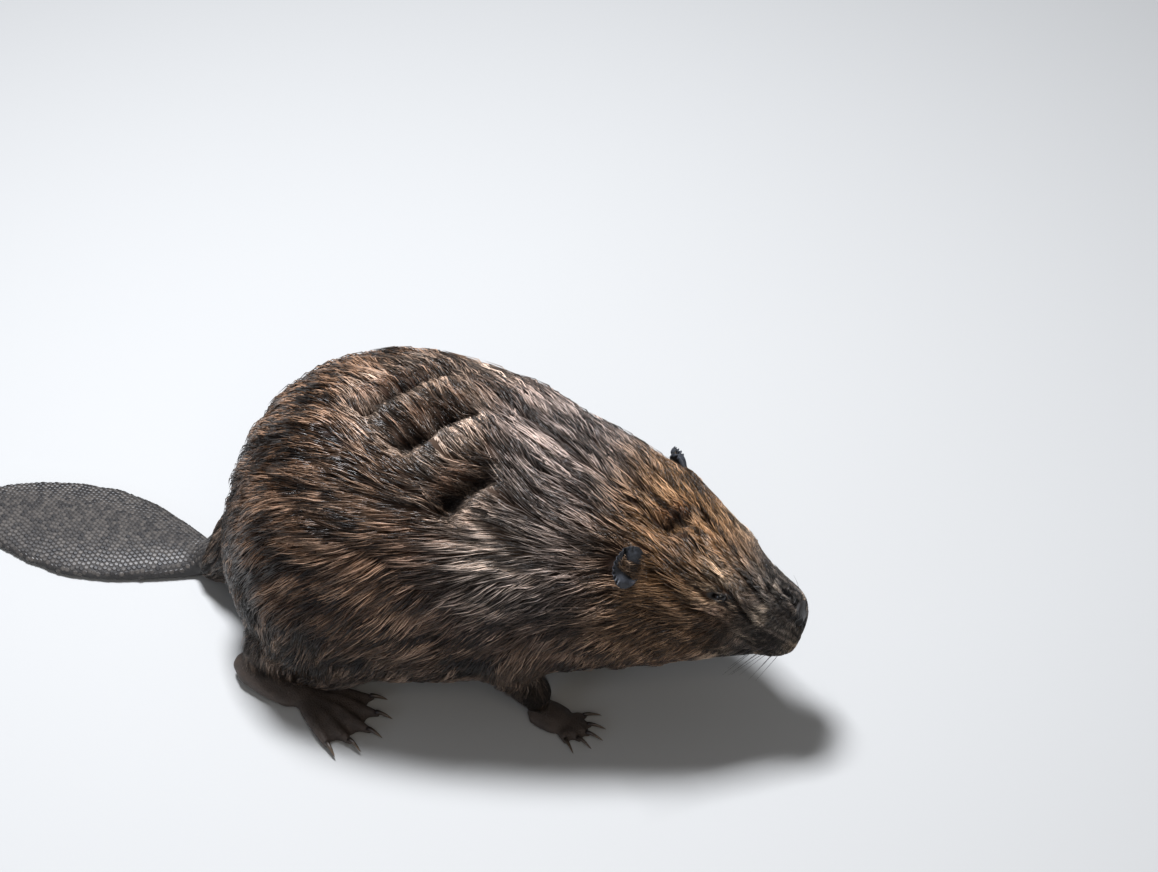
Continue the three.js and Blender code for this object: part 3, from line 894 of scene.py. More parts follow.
patches = 0.5 + 0.5 * waves(22, (9, 3, 1))
dapples = waves(75, (2, 7, 4))
crown = ramp(along, 48, 78) * (1 - ramp(along, 95, 165)) * ramp(z_mm, 150, 195)
muzzle = 1 - ramp(along + 0.25 * (z_mm - 140) + 14 * (patches - 0.5), 30, 72)
COAT_MARKS = {  # side, behind, height and radius in millimetres, and the colour
    # The pale brow, painted paler still: partly its own colour and partly a painted highlight.
    "brow": (36, 62, 173, 15, "#e6c7a4"),
    "pouch_below_the_eye": (41, 60, 152, 8, "#ab8f7c"),
    "whisker_pad_edge": (40, 48, 124, 7, "#a58d7a"),
    "corner_of_the_eye": (34, 54, 162, 8, "#17120f"),
    # Painted shade ahead of the ear, among the tufts of the crown.
    "ahead_of_the_ear": (42, 88, 198, 15, "#5a4331"),
    # Painted highlight on the top of the upper arm.
    "upper_arm_top": (106, 224, 216, 36, "#c3b2a3"),
    # Painted highlights on the middle and rear rolls.
    "middle_roll": (52, 292, 262, 24, "#c9b3a0"),
    "rear_roll": (42, 352, 262, 22, "#c4ae9b"),
    "flank": (113, 360, 222, 34, "#4b3728"),
    "bridge": (10, 39, 164, 10, "#1f1814"),
}


def mark_mask(side_there, behind_there, height_there, radius):
    away = np.sqrt((side_mm - side_there) ** 2 + (along - behind_there) ** 2 + (z_mm - height_there) ** 2)
    return 0.85 * hump(away, 0, radius)


colour = np.zeros((len(points), 3))
for hex_colour, mask in (  # each is laid over the ones before it
        ("#83664e", np.ones(len(points))),  # warm brown all over
        ("#94684c", 0.45 * patches),  # redder in broad patches
        # Painted sheen: the shoulders are painted grey where long guard hairs catch the sky.
        ("#8f827c", ramp(along, 112, 150) * (1 - ramp(along, 215, 330)) 
         * ramp(z_mm, 95, 190) * 0.85),  # grey shoulders
        ("#5d4029", ramp(along, 340, 420) * 0.9),  # darker toward the rump
        # Painted highlight on the rolls beside the creases.
        ("#a8927f", 0.8 * roll),  # the rolls beside the creases catch the sky
        # Darker lower down: wet hair, and painted shade low on the body.
        ("#5c4737", 1 - ramp(z_mm, 90, 180)),
        ("#3f2e21", 1 - ramp(z_mm, 60, 120)),  # wet lower hair
        ("#8d6d50", (1 - ramp(along, 100, 190)) * ramp(z_mm, 90, 140)),
        ("#936b42", crown),  # ginger
        ("#544e48", muzzle),  # charcoal, with pale and dark dapples on it
        ("#b3a18d", 0.85 * muzzle * ramp(dapples, 0.05, 0.35)),
        ("#100e0d", 0.92 * muzzle * ramp(-dapples, 0.0, 0.3)),
        *((mark[-1], mark_mask(*mark[:-1])) for mark in COAT_MARKS.values()),
        ("#4a3b30", limb),  # forearms and shins
        ("#9a5f35", 0.5 * parting),  # rusty underfur
        # The creases are painted near black: painted shade deep in the pockets.
        ("#20150e", 0.9 * crease)):
    colour = painted(colour, hex_colour, mask)
print("colours span", np.round(colour.min(0), 3), "to", np.round(colour.max(0), 3), "linear")

# %% Divide the coat into pieces of the same number of tufts, and unroll each like a pelt
BODY_PIECES = 8
LIMB_PIECE = BODY_PIECES
TUFTS_IN_ALL = 145000
HAIR_WIDTH = (0.33, 0.022)  # mm, and share of its length: the width of a tuft at its widest


def face_table(mesh):
    """Centre points and areas of the faces, and the point and face of each corner."""
    sizes = listed(mesh.polygons, "loop_total", 1, int)
    return (listed(mesh.polygons, "center", 3), listed(mesh.polygons, "area"),
            listed(mesh.loops, "vertex_index", 1, int), np.repeat(np.arange(len(sizes)), sizes))


centres, areas, corner_point, corner_face = face_table(hide.data)


def on_faces(values):
    """The mean of a point value over the corners of each face."""
    return np.bincount(corner_face, values[corner_point]) / np.bincount(corner_face)


width_mm = HAIR_WIDTH[0] + HAIR_WIDTH[1] * coat_length
hairless = np.clip(bare + bare_lid + nostril_depth, 0, 1)
hairless = np.clip(hairless + 0.8 * lip_line + (1 - ramp(ear_gap, 9, 13)), 0, 1)
density = (1 - ramp(hairless, 0.35, 0.7)) / (coat_length * width_mm)
density *= (1 - 0.55 * belly) * (1 - 0.4 * crease) * (1.5 - 0.5 * ramp(along, 55, 120))
face_tufts = on_faces(density) * areas
limb_face = on_faces(limb) > 0.5
face_along = behind(centres[:, 1])
order = np.argsort(face_along)
body_order = order[~limb_face[order]]
share_so_far = np.cumsum(face_tufts[body_order]) / face_tufts[body_order].sum()
piece = np.full(len(centres), LIMB_PIECE)
piece[body_order] = np.minimum((share_so_far * BODY_PIECES).astype(int), BODY_PIECES - 1)
coverage = TUFTS_IN_ALL / face_tufts.sum()
tufts_per_piece = [int(coverage * face_tufts[piece == k].sum()) for k in range(BODY_PIECES + 1)]
print("tufts per piece:", tufts_per_piece, "layers:", round(coverage * 0.5 * 1e-6, 1))


def unrolled(face_set, axis_points, around, lengthwise):
    """Angle round an axis and angle along it, for the corners of some faces, from 0 to 1."""
    corners = np.flatnonzero(face_set[corner_face])
    offset = points[corner_point[corners]] - axis_points
    middle = centres[corner_face[corners]] - axis_points
    turn = np.arctan2(offset @ around[0], offset @ around[1])
    middle_turn = np.arctan2(middle @ around[0], middle @ around[1])
    turn = middle_turn + (turn - middle_turn + math.pi) % (2 * math.pi) - math.pi
    radial = np.hypot(offset @ around[0], offset @ around[1])
    climb = np.arctan2(offset @ lengthwise, radial)
    low, high = climb.min(), climb.max()
    u = np.clip(turn / (2 * math.pi) + 0.5, 0, 1)
    return corners, u, (climb - low) / (high - low)


X, Y, Z = np.eye(3)
pelt = np.zeros((len(corner_point), 2))
for k in range(BODY_PIECES):
    here = piece == k
    axis = np.array([0, centres[here, 1].mean(), centres[here, 2].mean()])
    corners, u, v = unrolled(here, axis, (X, Z), Y)
    pelt[corners] = np.stack([0.02 + 0.96 * u, 0.02 + 0.96 * v], axis=1)
for tile, (sign, is_hind) in enumerate([(-1, 0), (1, 0), (-1, 1), (1, 1)]):
    here = limb_face & (np.sign(centres[:, 0]) == sign) & ((face_along > 300) == bool(is_hind))
    corners, u, v = unrolled(here, centres[here].mean(0), (X, Y), Z)
    pelt[corners] = np.stack([(tile + 0.04 + 0.92 * u) / 4, 0.02 + 0.96 * v], axis=1)


WORKING_NAMES = (  # what the trees read and no finished piece keeps
    "lie", "outward", "coat_length", "coat_density", "pelt_map", "coat_piece", "tousle", "comb", "scaly")
KINDS = {1: ("FLOAT", "value"), 2: ("FLOAT2", "vector"), 3: ("FLOAT_VECTOR", "vector"),
         4: ("FLOAT_COLOR", "color")}


def store(mesh, name, values, domain="POINT"):
    """Keeps an array on the mesh under a name that the nodes read. Its columns say what kind it is."""
    values = np.asarray(values)
    kind, field = KINDS[values.shape[1] if values.ndim > 1 else 1]
    whole = values.dtype.kind == "i"
    made = mesh.attributes.new(name, "INT" if whole else kind, domain)
    made.data.foreach_set(field, np.ascontiguousarray(values, np.int32 if whole else np.float32).ravel())


bare_kinds = np.stack([foot, paddle, np.clip(nose_front + bare_lid, 0, 1), np.ones(len(points))], axis=1)
for name, values in {
        "lie": flow, "outward": outward_smooth, "coat_length": coat_length * MM, "coat_density": density,
        "tousle": tousle, "comb": comb, "scaly": paddle,
        "coat_colour": np.c_[colour, np.ones(len(colour))], "bare_kind": bare_kinds}.items():
    store(hide.data, name, values)
store(hide.data, "pelt_map", pelt, "CORNER")
store(hide.data, "coat_piece", piece, "FACE")

# %% [markdown]
# ## The coat
# A beaver's guard hairs are stiff, glossy and slightly flattened, and when damp they lie together in
# narrow locks whose tips meet. Each tuft here is one closed three-sided blade. Geometry Nodes scatter
# the roots over the hide, turn each blade along the lie of the coat, draw the tips of one lock
# together, and lay every joint of the blade at its own height over the hide, so it follows the body
# round folds and curves. The instances are then realized, and each tuft gets its small patch of the
# map OFBake at its root's place on the unrolled pelt.

# %% Materials of the coat
def coat_material():
    """Guard hair: dark at the root, its own colour along the shaft, pale and worn at the tip, and a painted
    silver sheen on the brightest tufts.
    """
    made, tree, principled = new_material(
        "damp_guard_hair", Roughness=0.31, Specular_IOR_Level=0.5, IOR=1.5)
    shaft, tone = attribute(tree, "hair_place"), attribute(tree, "tone")
    _, calc, _, _, _, vector, _, _ = tools_for(tree)
    bright = span(tree, calc("POWER", tone, 2.4), 0, 1, 0.06, 3.8)
    toned = vector("SCALE", attribute(tree, "coat_colour", "Color"), scale=bright)
    # The brightest tufts are mixed toward pale silver grey: a painted sheen of sky on wet hair.
    toned = mixed(tree, span(tree, tone, 0.5, 1.0, high=0.42), toned, "#c4b09f")
    root = vector("MULTIPLY", toned, (0.22, 0.17, 0.14))
    rise = span(tree, shaft, 0.03, 0.42, interpolation_type="SMOOTHSTEP")
    worn = mixed(tree, span(tree, shaft, 0.6, 1.0, high=0.15), mixed(tree, rise, root, toned), "#c9b7a4")
    tree.links.new(worn, principled.inputs["Base Color"])
    return made


# %% The tree that grows the coat
ROOT_DEPTH = 0.0006  # metres that the root of a hair is sunk into the hide
LOWEST_HAIR = 0.0004  # metres from the floor to the lowest hair


def coat_tree():
    """Builds the node tree, and returns it with the identifier of each named input."""
    tree, given, ids = new_tree("tufts_over_a_hide", {
        "Hide": "Geometry", "Piece": "Int", "Roots per square metre": "Float", "Thinnest": "Float",
        "Width share": "Float", "Lift share": "Float", "Lock size": "Float", "Strand size": "Float",
        "Gather": "Float", "Wander": "Float", "Joints": "Int", "Patch size": "Float", "Seed": "Int",
        "Material": "Material"}, "Coat")
    node, calc, times, plus, minus, vector, parts_of, combined = tools_for(tree)

    def value_of(name, kind="FLOAT"):
        return node("GeometryNodeInputNamedAttribute", {"Name": name}, data_type=kind)

    def scaled(direction, size):
        return vector("SCALE", direction, scale=size)

    def along_all(start, *steps):
        for step in steps:
            start = vector("ADD", start, step)
        return start

    # Roots: scattered on the faces of this piece, closer together where the hair is shorter.
    chosen = node("FunctionNodeCompare", {2: value_of("coat_piece", "INT"), 3: given["Piece"]},
                  data_type="INT", operation="EQUAL")
    roots = node("GeometryNodeDistributePointsOnFaces", {
        "Mesh": given["Hide"], "Selection": chosen, "Seed": given["Seed"],
        "Density": times(given["Roots per square metre"], value_of("coat_density"))})
    place = node("GeometryNodeInputPosition")
    outward = value_of("outward", "FLOAT_VECTOR")
    lie = value_of("lie", "FLOAT_VECTOR")
    sideways = vector("CROSS_PRODUCT", outward, lie)
    length = times(value_of("coat_length"), chance(tree, 0.62, 1.25, 1))

    # Locks: long cells of the combed pelt whose tufts lean together and share a height and a tone.
    # Strands: narrower cells within them, a few tufts each. Both draw their tufts sideways.
    ripple = add(tree, "ShaderNodeTexNoise", {"Vector": place, "Scale": 60.0, "Detail": 2.0}).outputs["Color"]
    ripple = scaled(vector("SUBTRACT", ripple, (0.5, 0.5, 0.5)), 0.007)
    combing = parts_of(vector("ADD", value_of("comb", "FLOAT_VECTOR"), ripple))

    def cell(size, stretch):
        """Look of the cell round this root, the way to its middle line, and the nearness to its border."""
        found = add(tree, "ShaderNodeTexVoronoi", {
            "Vector": combined(combing[0], calc("DIVIDE", combing[1], stretch)),
            "Scale": calc("DIVIDE", 1.0, size)}, voronoi_dimensions="2D").outputs
        aside = minus(parts_of(found["Position"])[0], combing[0])
        aside = calc("MAXIMUM", calc("MINIMUM", aside, size), times(size, -1.0))
        border = span(tree, calc("DIVIDE", calc("ABSOLUTE", aside), size), 0.2, 0.55)
        return parts_of(found["Color"]), scaled(sideways, aside), border

    lock_look, lock_way, lock_border = cell(given["Lock size"], 3.0)
    strand_look, strand_way, strand_border = cell(given["Strand size"], 5.0)
    tousle = value_of("tousle")
    drift = node("ShaderNodeTexNoise", {"Vector": place, "Scale": 28.0, "Detail": 2.0})
    drift = times(minus(drift, 0.5), 2.4)
    lock_lean = times(minus(lock_look[0], 0.5), 0.9)
    strand_lean = times(minus(strand_look[0], 0.5), 0.5)
    lean = plus(plus(drift, plus(lock_lean, strand_lean)), chance(tree, -0.2, 0.2, 2))
    lean = times(times(lean, times(tousle, given["Wander"])), length)
    reach = along_all(scaled(lie, length), scaled(sideways, lean), scaled(lock_way, given["Gather"]),
                      scaled(strand_way, times(given["Gather"], 1.5)))
    highest = times(length, given["Lift share"])
    lift = times(highest, chance(tree, 0.55, 1.1, 3))
    lift = times(lift, plus(0.15, plus(times(lock_look[1], 0.5), times(strand_look[1], 0.95))))
    lift = times(lift, minus(1.0, times(lock_border, 0.35)))
    lift = calc("MINIMUM", times(lift, plus(0.5, times(tousle, 0.6))), highest)
    bow = scaled(sideways, times(times(length, tousle), chance(tree, -0.06, 0.06, 4)))
    tone = plus(plus(times(lock_look[2], 0.2), times(strand_look[2], 0.45)), chance(tree, 0.0, 0.35, 5))
    # Tufts near the border of a lock or of a strand are made darker: painted shade in the gaps between them.
    tone = times(span(tree, tone, 0.16, 0.80), minus(1.0, times(lock_border, 0.25)))
    tone = times(tone, minus(1.0, times(strand_border, 0.4)))
    width = plus(given["Thinnest"], times(given["Width share"], value_of("coat_length")))
    points = keep(tree, roots, {"root": place, "reach": reach, "bow": bow}, "FLOAT_VECTOR")
    points = keep(tree, points, {"lift": lift, "tone": tone, "half_width": times(0.5, width)})

    # One blade: a three-sided spike of unit length, widest near its middle.
    spike = node("GeometryNodeMeshCone", {
        "Vertices": 3, "Side Segments": given["Joints"], "Radius Top": 0.0, "Radius Bottom": 1.0,
        "Depth": 1.0}, fill_type="NGON")
    own = parts_of(place)
    spike = keep(tree, spike, {"hair_place": own[2], "blade_side": own[0]})
    swell = plus(0.6, times(own[2], 2.0))
    shaped = combined(times(own[0], swell), times(own[1], swell), own[2])
    spike = node("GeometryNodeSetPosition", {"Geometry": spike, "Position": shaped})
    stored_reach = value_of("reach", "FLOAT_VECTOR")
    reach_length = add(tree, "ShaderNodeVectorMath", {0: stored_reach}, operation="LENGTH").outputs["Value"]
    half_width = value_of("half_width")
    turned = node("FunctionNodeAxesToRotation", {
        "Primary Axis": stored_reach, "Secondary Axis": outward}, primary_axis="Z", secondary_axis="Y")
    blades = node("GeometryNodeInstanceOnPoints", {
        "Points": points, "Instance": spike, "Rotation": turned,
        "Scale": combined(half_width, half_width, reach_length)})
    blades = node("GeometryNodeRealizeInstances", {"Geometry": blades})

    # Lay each joint over the hide, at its own height.
    part = value_of("hair_place")
    straight = vector("ADD", value_of("root", "FLOAT_VECTOR"), scaled(stored_reach, part))
    thickness = vector("SUBTRACT", place, straight)
    bend = times(4.0, times(part, minus(1.0, part)))
    line = vector("ADD", straight, scaled(value_of("bow", "FLOAT_VECTOR"), bend))
    foothold = node("GeometryNodeProximity", {
        0: given["Hide"], "Sample Position": line}, target_element="FACES")
    up_there = node("GeometryNodeSampleNearestSurface", {
        "Mesh": given["Hide"], "Value": outward, "Sample Position": line}, data_type="FLOAT_VECTOR")
    climb = span(tree, part, 0, 0.5, interpolation_type="SMOOTHSTEP")
    level = plus(times(value_of("lift"), climb), times(minus(1.0, climb), -ROOT_DEPTH))
    laid = vector("MAXIMUM", along_all(foothold, scaled(up_there, level), thickness), (-9, -9, LOWEST_HAIR))
    blades = node("GeometryNodeSetPosition", {"Geometry": blades, "Position": laid})

    # The patch of each tuft on the map that a bake reads.
    patch = scaled(combined(times(value_of("blade_side"), 0.5), minus(part, 0.5)), given["Patch size"])
    patch = vector("ADD", value_of("pelt_map", "FLOAT_VECTOR"), patch)
    blades = keep(tree, blades, {"OFBake": patch}, "FLOAT2", "CORNER")
    for name in (*WORKING_NAMES, "root", "reach", "bow", "lift", "half_width", "blade_side", "bare_kind"):
        blades = node("GeometryNodeRemoveAttribute", {"Geometry": blades, "Name": name})
    end_tree(tree, node("GeometryNodeSetShadeSmooth", {"Geometry": blades}), given["Material"])
    return tree, ids


def grown(name, mesh, tree, ids, values):
    """Runs a tree on a mesh and returns the result as a plain object with no modifier."""
    holder = link(name + "_holder", mesh)
    grow = holder.modifiers.new("grow", "NODES")
    grow.node_group = tree
    for key, value in values.items():
        grow[ids[key]] = value
    evaluated = holder.evaluated_get(bpy.context.evaluated_depsgraph_get())
    made = bpy.data.meshes.new_from_object(evaluated)
    bpy.data.objects.remove(holder)
    made.name = name
    return link(name, made)


# %% Grow the coat
COAT, COAT_IDS = coat_tree()
GUARD_HAIR = coat_material()
PIECE_NAMES = ["coat_face", "coat_crown", "coat_nape", "coat_shoulder", "coat_back", "coat_loin",
               "coat_haunch", "coat_rump", "coat_legs"]
PIECE_SLOTS = ["fur_head"] * 3 + ["fur_body"] * 5 + ["fur_limb"]
LOCK_SIZES = [7, 9, 11, 12, 13, 13, 13, 12, 8]  # mm
STRAND_SIZES = [2.2, 2.6, 3.0, 3.3, 3.6, 3.6, 3.6, 3.3, 2.4]  # mm
LIFTS = [0.26, 0.20, 0.18, 0.17, 0.17, 0.17, 0.17, 0.16, 0.15]  # height of the tips as a share of length
GATHER = [0.55] * 8 + [0.0]  # how far a tuft leans to the middle of its lock
JOINTS = [2, 2, 2, 2, 2, 2, 2, 2, 1]  # the short hair of the legs is a straight spike, the rest bends once
THICKER = [1, 1, 1, 1, 1, 1, 1, 1, 1.6]  # spikes have fewer faces, so there can be more of them
ALL_COATS = {"Wander": 0.5, "Patch size": 0.003, "Material": GUARD_HAIR}
coat = []
for k, name in enumerate(PIECE_NAMES):
    grown_piece = grown(name, hide.data, COAT, COAT_IDS, {
        **ALL_COATS, "Piece": k, "Roots per square metre": coverage * THICKER[k],
        "Thinnest": HAIR_WIDTH[0] * MM, "Width share": HAIR_WIDTH[1], "Lift share": LIFTS[k],
        "Lock size": LOCK_SIZES[k] * MM, "Strand size": STRAND_SIZES[k] * MM, "Gather": GATHER[k],
        "Joints": JOINTS[k], "Seed": 11 + k})
    coat.append(grown_piece)
    print(name, len(grown_piece.data.polygons), "faces")

# %% [markdown]
# ## Bare skin
# Under the fur the hide is dark and dull: dark underfur, with painted shade deep between the tufts. The
# nose and lids are black, moist and finely pebbled, the feet have grey-brown skin cracked into small
# scales, and the paddle of the tail is near black.

# %% Material of the hide
def hide_material():
    """Skin: one shader whose colour, gloss and relief change from the furred hide to the bare parts."""
    made, tree, principled = new_material("beaver_hide", Specular_IOR_Level=0.5)
    node, _, times, plus, minus, vector, _, _ = tools_for(tree)
    coordinates = add(tree, "ShaderNodeTexCoord").outputs["Object"]
    kinds = add(tree, "ShaderNodeSeparateColor", {0: attribute(tree, "bare_kind", "Color")}).outputs
    mottle = node("ShaderNodeTexNoise", {"Vector": coordinates, "Scale": 90.0, "Detail": 4.0})
    scales = node("ShaderNodeTexVoronoi", {"Vector": coordinates, "Scale": 420.0}, feature="DISTANCE_TO_EDGE")
    pebbles = node("ShaderNodeTexVoronoi", {"Vector": coordinates, "Scale": 900.0})
    # Under the fur the hide is the coat's colour made much darker: dark underfur, and painted shade between
    # the tufts.
    colour = vector("MULTIPLY", attribute(tree, "coat_colour", "Color"), (0.13, 0.10, 0.08))
    dark_and_light = (("#2b2521", "#57493f"), ("#1c1b1b", "#3a3735"), ("#131110", "#282422"))
    for kind, ends in enumerate(dark_and_light):  # feet, paddle, nose and lids
        colour = mixed(tree, kinds[kind], colour, mixed(tree, mottle, *ends))
    tree.links.new(colour, principled.inputs["Base Color"])
    dull = span(tree, plus(kinds[0], kinds[1]), 0, 1, 0.95, 0.62)
    shine = node("ShaderNodeMix", {"Factor": kinds[2], 2: dull, 3: 0.46})
    tree.links.new(shine, principled.inputs["Roughness"])
    relief = minus(times(span(tree, scales, 0, 0.12), kinds[0]), times(pebbles, kinds[2]))
    bump = node("ShaderNodeBump", {"Height": relief, "Strength": 0.6, "Distance": 0.0006})
    tree.links.new(bump, principled.inputs["Normal"])
    return made


hide.data.materials.clear()
hide.data.materials.append(hide_material())

# %% Eyes
# The eye is black-brown and wet.
EYE_BALL, _, _ = new_material(
    "wet_eye", Roughness=0.08, IOR=1.38, Coat_Weight=0.6, Coat_Roughness=0.03,
    Base_Color=(*linear("#120b07"), 1))


def ball(name, centre, radius, rings=24, around=36):
    """A closed sphere whose place is in its mesh. Its faces are sorted, so every run gives the same mesh."""
    work = bmesh.new()
    bmesh.ops.create_uvsphere(work, u_segments=around, v_segments=rings, radius=radius)
    bmesh.ops.translate(work, verts=work.verts, vec=centre)
    work.verts.index_update()
    sphere_points = np.array([v.co[:] for v in work.verts])
    corners = [[v.index for v in f.verts] for f in work.faces]
    work.free()
    faces = sorted(c[c.index(min(c)):] + c[:c.index(min(c))] for c in corners)
    return finished(name, sphere_points, faces, EYE_BALL, outward=False)


eyes = {side: ball(f"eyeball_{side}", centre, EYE_RADIUS * MM) for side, centre in EYES.items()}

# %% [markdown]
# ## Ears
# A beaver's ears are small cups of thick, black, nearly naked skin, pressed to the side of the crown.
# Each is swept as a disc whose rear, top and bottom edges curl outward; a thick lobe stands at the top
# and at the bottom of the cup, a slit parts the top lobe from the rim, and the rear rim is wrinkled.

# %% Ears
EAR_RINGS, EAR_AROUND = 32, 120
EAR_RAISED = 4.5  # mm from the hide to the middle of the cup


def ear_material():
    """Naked ear skin: blue-black, a little moist, wrinkled, and mottled paler by a noise."""
    made, tree, principled, tint = mottled_material(
        "naked_ear_skin", "#1b1d22", "#4c4f56", 420.0, 5.0, (0.7, 0.0008), rough=0.6,
        Roughness=0.52, Specular_IOR_Level=0.4)
    # The slit, the pit and the grooves of the wrinkles are painted near black: painted shade in the hollows.
    shaded = mixed(tree, attribute(tree, "ear_shade"), "#08080a", tint)
    tree.links.new(shaded, principled.inputs["Base Color"])
    return made


def ear_frame(side):
    """Where the ear stands on the hide, the way its cup faces, and its rearward and upward directions."""
    middle = centre_of(f"ear_{side}")
    gap = np.linalg.norm(points - middle, axis=1)
    stand = points[gap.argmin()]
    facing = unit(outward_smooth[gap.argmin()] + np.array([0, -0.45, 0.15]))
    rearward = np.array([0, 1.0, 0.25])
    rearward = unit(rearward - facing * (rearward @ facing))
    upward = np.cross(facing, rearward)
    upward *= math.copysign(1, upward[2])
    return stand, facing, rearward, upward


def ear_cup(side):
    """The mesh of one ear, and the disc coordinates in mm of each of its points, front face first."""
    stand, facing, rearward, upward = ear_frame(side)
    share, turn = np.meshgrid(np.linspace(0.02, 1, EAR_RINGS),
                              np.linspace(0, 2 * math.pi, EAR_AROUND, endpoint=False), indexing="ij")
    u = EAR_HALF[0] * share * np.cos(turn)
    v = EAR_HALF[1] * share * np.sin(turn)
    rear = ramp(np.cos(turn), -0.75, 0.35)
    height = -1.5 + (1.5 + 5.5 * rear) * share ** 2.0
    height += 4.5 * hump(np.hypot((u + 1) / 7, (v - 10.5) / 5), 0, 1)
    height += 4.0 * hump(np.hypot(u / 8, (v + 12.5) / 4.5), 0, 1)
    slit = 0 * u
    for step in np.linspace(0, 1, 9):
        spot = (11.5 - 9.5 * step, 15.5 - 15.0 * step)
        slit = np.maximum(slit, hump(np.hypot(u - spot[0], v - spot[1]), 0, 1.7))
    pit = hump(np.hypot((u + 7) / 5, (v + 6) / 3.5), 0, 1)
    height -= 4.5 * slit + 2.5 * pit
    combs = np.sin(turn * 24) * ramp(share, 0.74, 0.86) * ramp(np.cos(turn), 0.1, 0.45)
    height += 1.5 * combs
    thick = 2.2 + 6.0 * (1 - ramp(share, 0.35, 0.8)) - 1.4 * ramp(share, 0.93, 1.0)
    stand = stand + rearward * 3.5 * MM
    front = (stand + facing * EAR_RAISED * MM + u[..., None] * rearward * MM
             + v[..., None] * upward * MM + height[..., None] * facing * MM)
    # shade is low in the slit, the pit and the grooves, where painted shade goes, and 1 elsewhere.
    shade = np.clip(1 - 1.2 * slit - 0.8 * pit - 0.4 * ramp(-combs, 0, 0.8), 0, 1).ravel()
    back = front - facing * thick[..., None] * MM
    cup_points = np.concatenate([front.reshape(-1, 3), back.reshape(-1, 3)])
    cup_points = np.concatenate([cup_points, front[0].mean(0)[None], back[0].mean(0)[None]])
    half, faces = EAR_RINGS * EAR_AROUND, []
    for k in range(EAR_AROUND):
        j = (k + 1) % EAR_AROUND
        for ring in range(EAR_RINGS - 1):
            a, b = ring * EAR_AROUND, (ring + 1) * EAR_AROUND
            faces += [(a + k, b + k, b + j, a + j), (half + a + j, half + b + j, half + b + k, half + a + k)]
        rim = (EAR_RINGS - 1) * EAR_AROUND
        faces += [(rim + k, half + rim + k, half + rim + j, rim + j)]
        faces += [(2 * half, k, j), (2 * half + 1, half + j, half + k)]
    disc = np.stack([u, v], axis=-1).reshape(-1, 2)
    disc = np.concatenate([disc, disc + 99, [[0, 0], [99, 99]]])
    ear = finished(f"ear_skin_{side}", cup_points, faces, EAR_SKIN)
    store(ear.data, "ear_shade", np.concatenate([shade, np.ones(half), [1, 1]]))
    ear.data.vertices.foreach_set("co", relaxed(points_of(ear.data), edges_of(ear.data), 0.4, 1).ravel())
    ear.data.update()
    return ear, disc


EAR_SKIN = ear_material()
EAR_HAIR_LENGTH = 7.0  # mm
EAR_ROOTS = 2.2e6  # hairs per square metre in the hollow
ears, ear_pelts = {}, []
for side in SIDES:
    ears[side], disc = ear_cup(side)
    ear_points, ear_faces = points_of(ears[side].data), arrays_of(ears[side].data)[1]
    ear_pelts.append((ear_points, ear_faces, point_normals(ear_points, ear_faces), disc))
    print(ears[side].name, len(ears[side].data.polygons), "faces")

# %% Hair in the hollow of the ears
counts = [len(p[0]) for p in ear_pelts]
pelt_points = np.concatenate([p[0] for p in ear_pelts])
pelt_faces = np.concatenate([ear_pelts[0][1], ear_pelts[1][1] + counts[0]])
pelt_normals = np.concatenate([p[2] for p in ear_pelts])
pelt_from = np.concatenate([p[3] for p in ear_pelts])
ear_pelt = built("ear_pelt", pelt_points, pelt_faces)
hollow = (1 - ramp(np.abs(pelt_from[:, 1]), 4, 7)) * (1 - ramp(pelt_from[:, 0], 3, 8))
ear_lie = unit(np.array([0, 1.0, 0.15]) - pelt_normals * (pelt_normals @ [0, 1.0, 0.15])[:, None])
ear_colour = np.tile(linear("#8a7058"), (len(pelt_points), 1))
for name, values in {
        "lie": ear_lie, "outward": pelt_normals, "coat_density": hollow,
        "coat_length": np.full(len(pelt_points), EAR_HAIR_LENGTH * MM),
        "tousle": np.full(len(pelt_points), 0.7),
        "comb": np.c_[pelt_from[:, ::-1] * MM, 0 * hollow],
        "coat_colour": np.c_[ear_colour, np.ones(len(pelt_points))]}.items():
    store(ear_pelt.data, name, values)
flat_y = (np.clip(pelt_from[:, 0], -20, 20) + 20) / 80 + np.repeat([0.0, 0.5], counts)
flat_z = (np.clip(pelt_from[:, 1], -20, 20) + 20) / 40
_, _, ear_corner_point, _ = face_table(ear_pelt.data)
store(ear_pelt.data, "pelt_map", np.stack([flat_y, flat_z], axis=1)[ear_corner_point], "CORNER")
store(ear_pelt.data, "coat_piece", np.zeros(len(ear_pelt.data.polygons), int), "FACE")
coat_ears = grown("coat_ears", ear_pelt.data, COAT, COAT_IDS, {
    **ALL_COATS, "Piece": 0, "Roots per square metre": EAR_ROOTS, "Thinnest": 0.35 * MM,
    "Width share": 0.01, "Lift share": 0.3, "Lock size": 5 * MM, "Strand size": 2 * MM,
    "Gather": 0.4, "Joints": 2, "Seed": 31})
bpy.data.objects.remove(ear_pelt)
print("ear hair:", len(coat_ears.data.polygons), "faces")

# %% [markdown]
# ## Whiskers
# About a dozen stiff dark whiskers sweep back from each lip, rooted in rows on the whisker pad.

# %% Whiskers
WHISKER_ROWS, WHISKER_COLUMNS = 3, 5
WHISKER_WIDTH = (0.55, 0.12)  # mm, at the root and at the tip
WHISKER_RINGS, WHISKER_SIDES = 7, 5


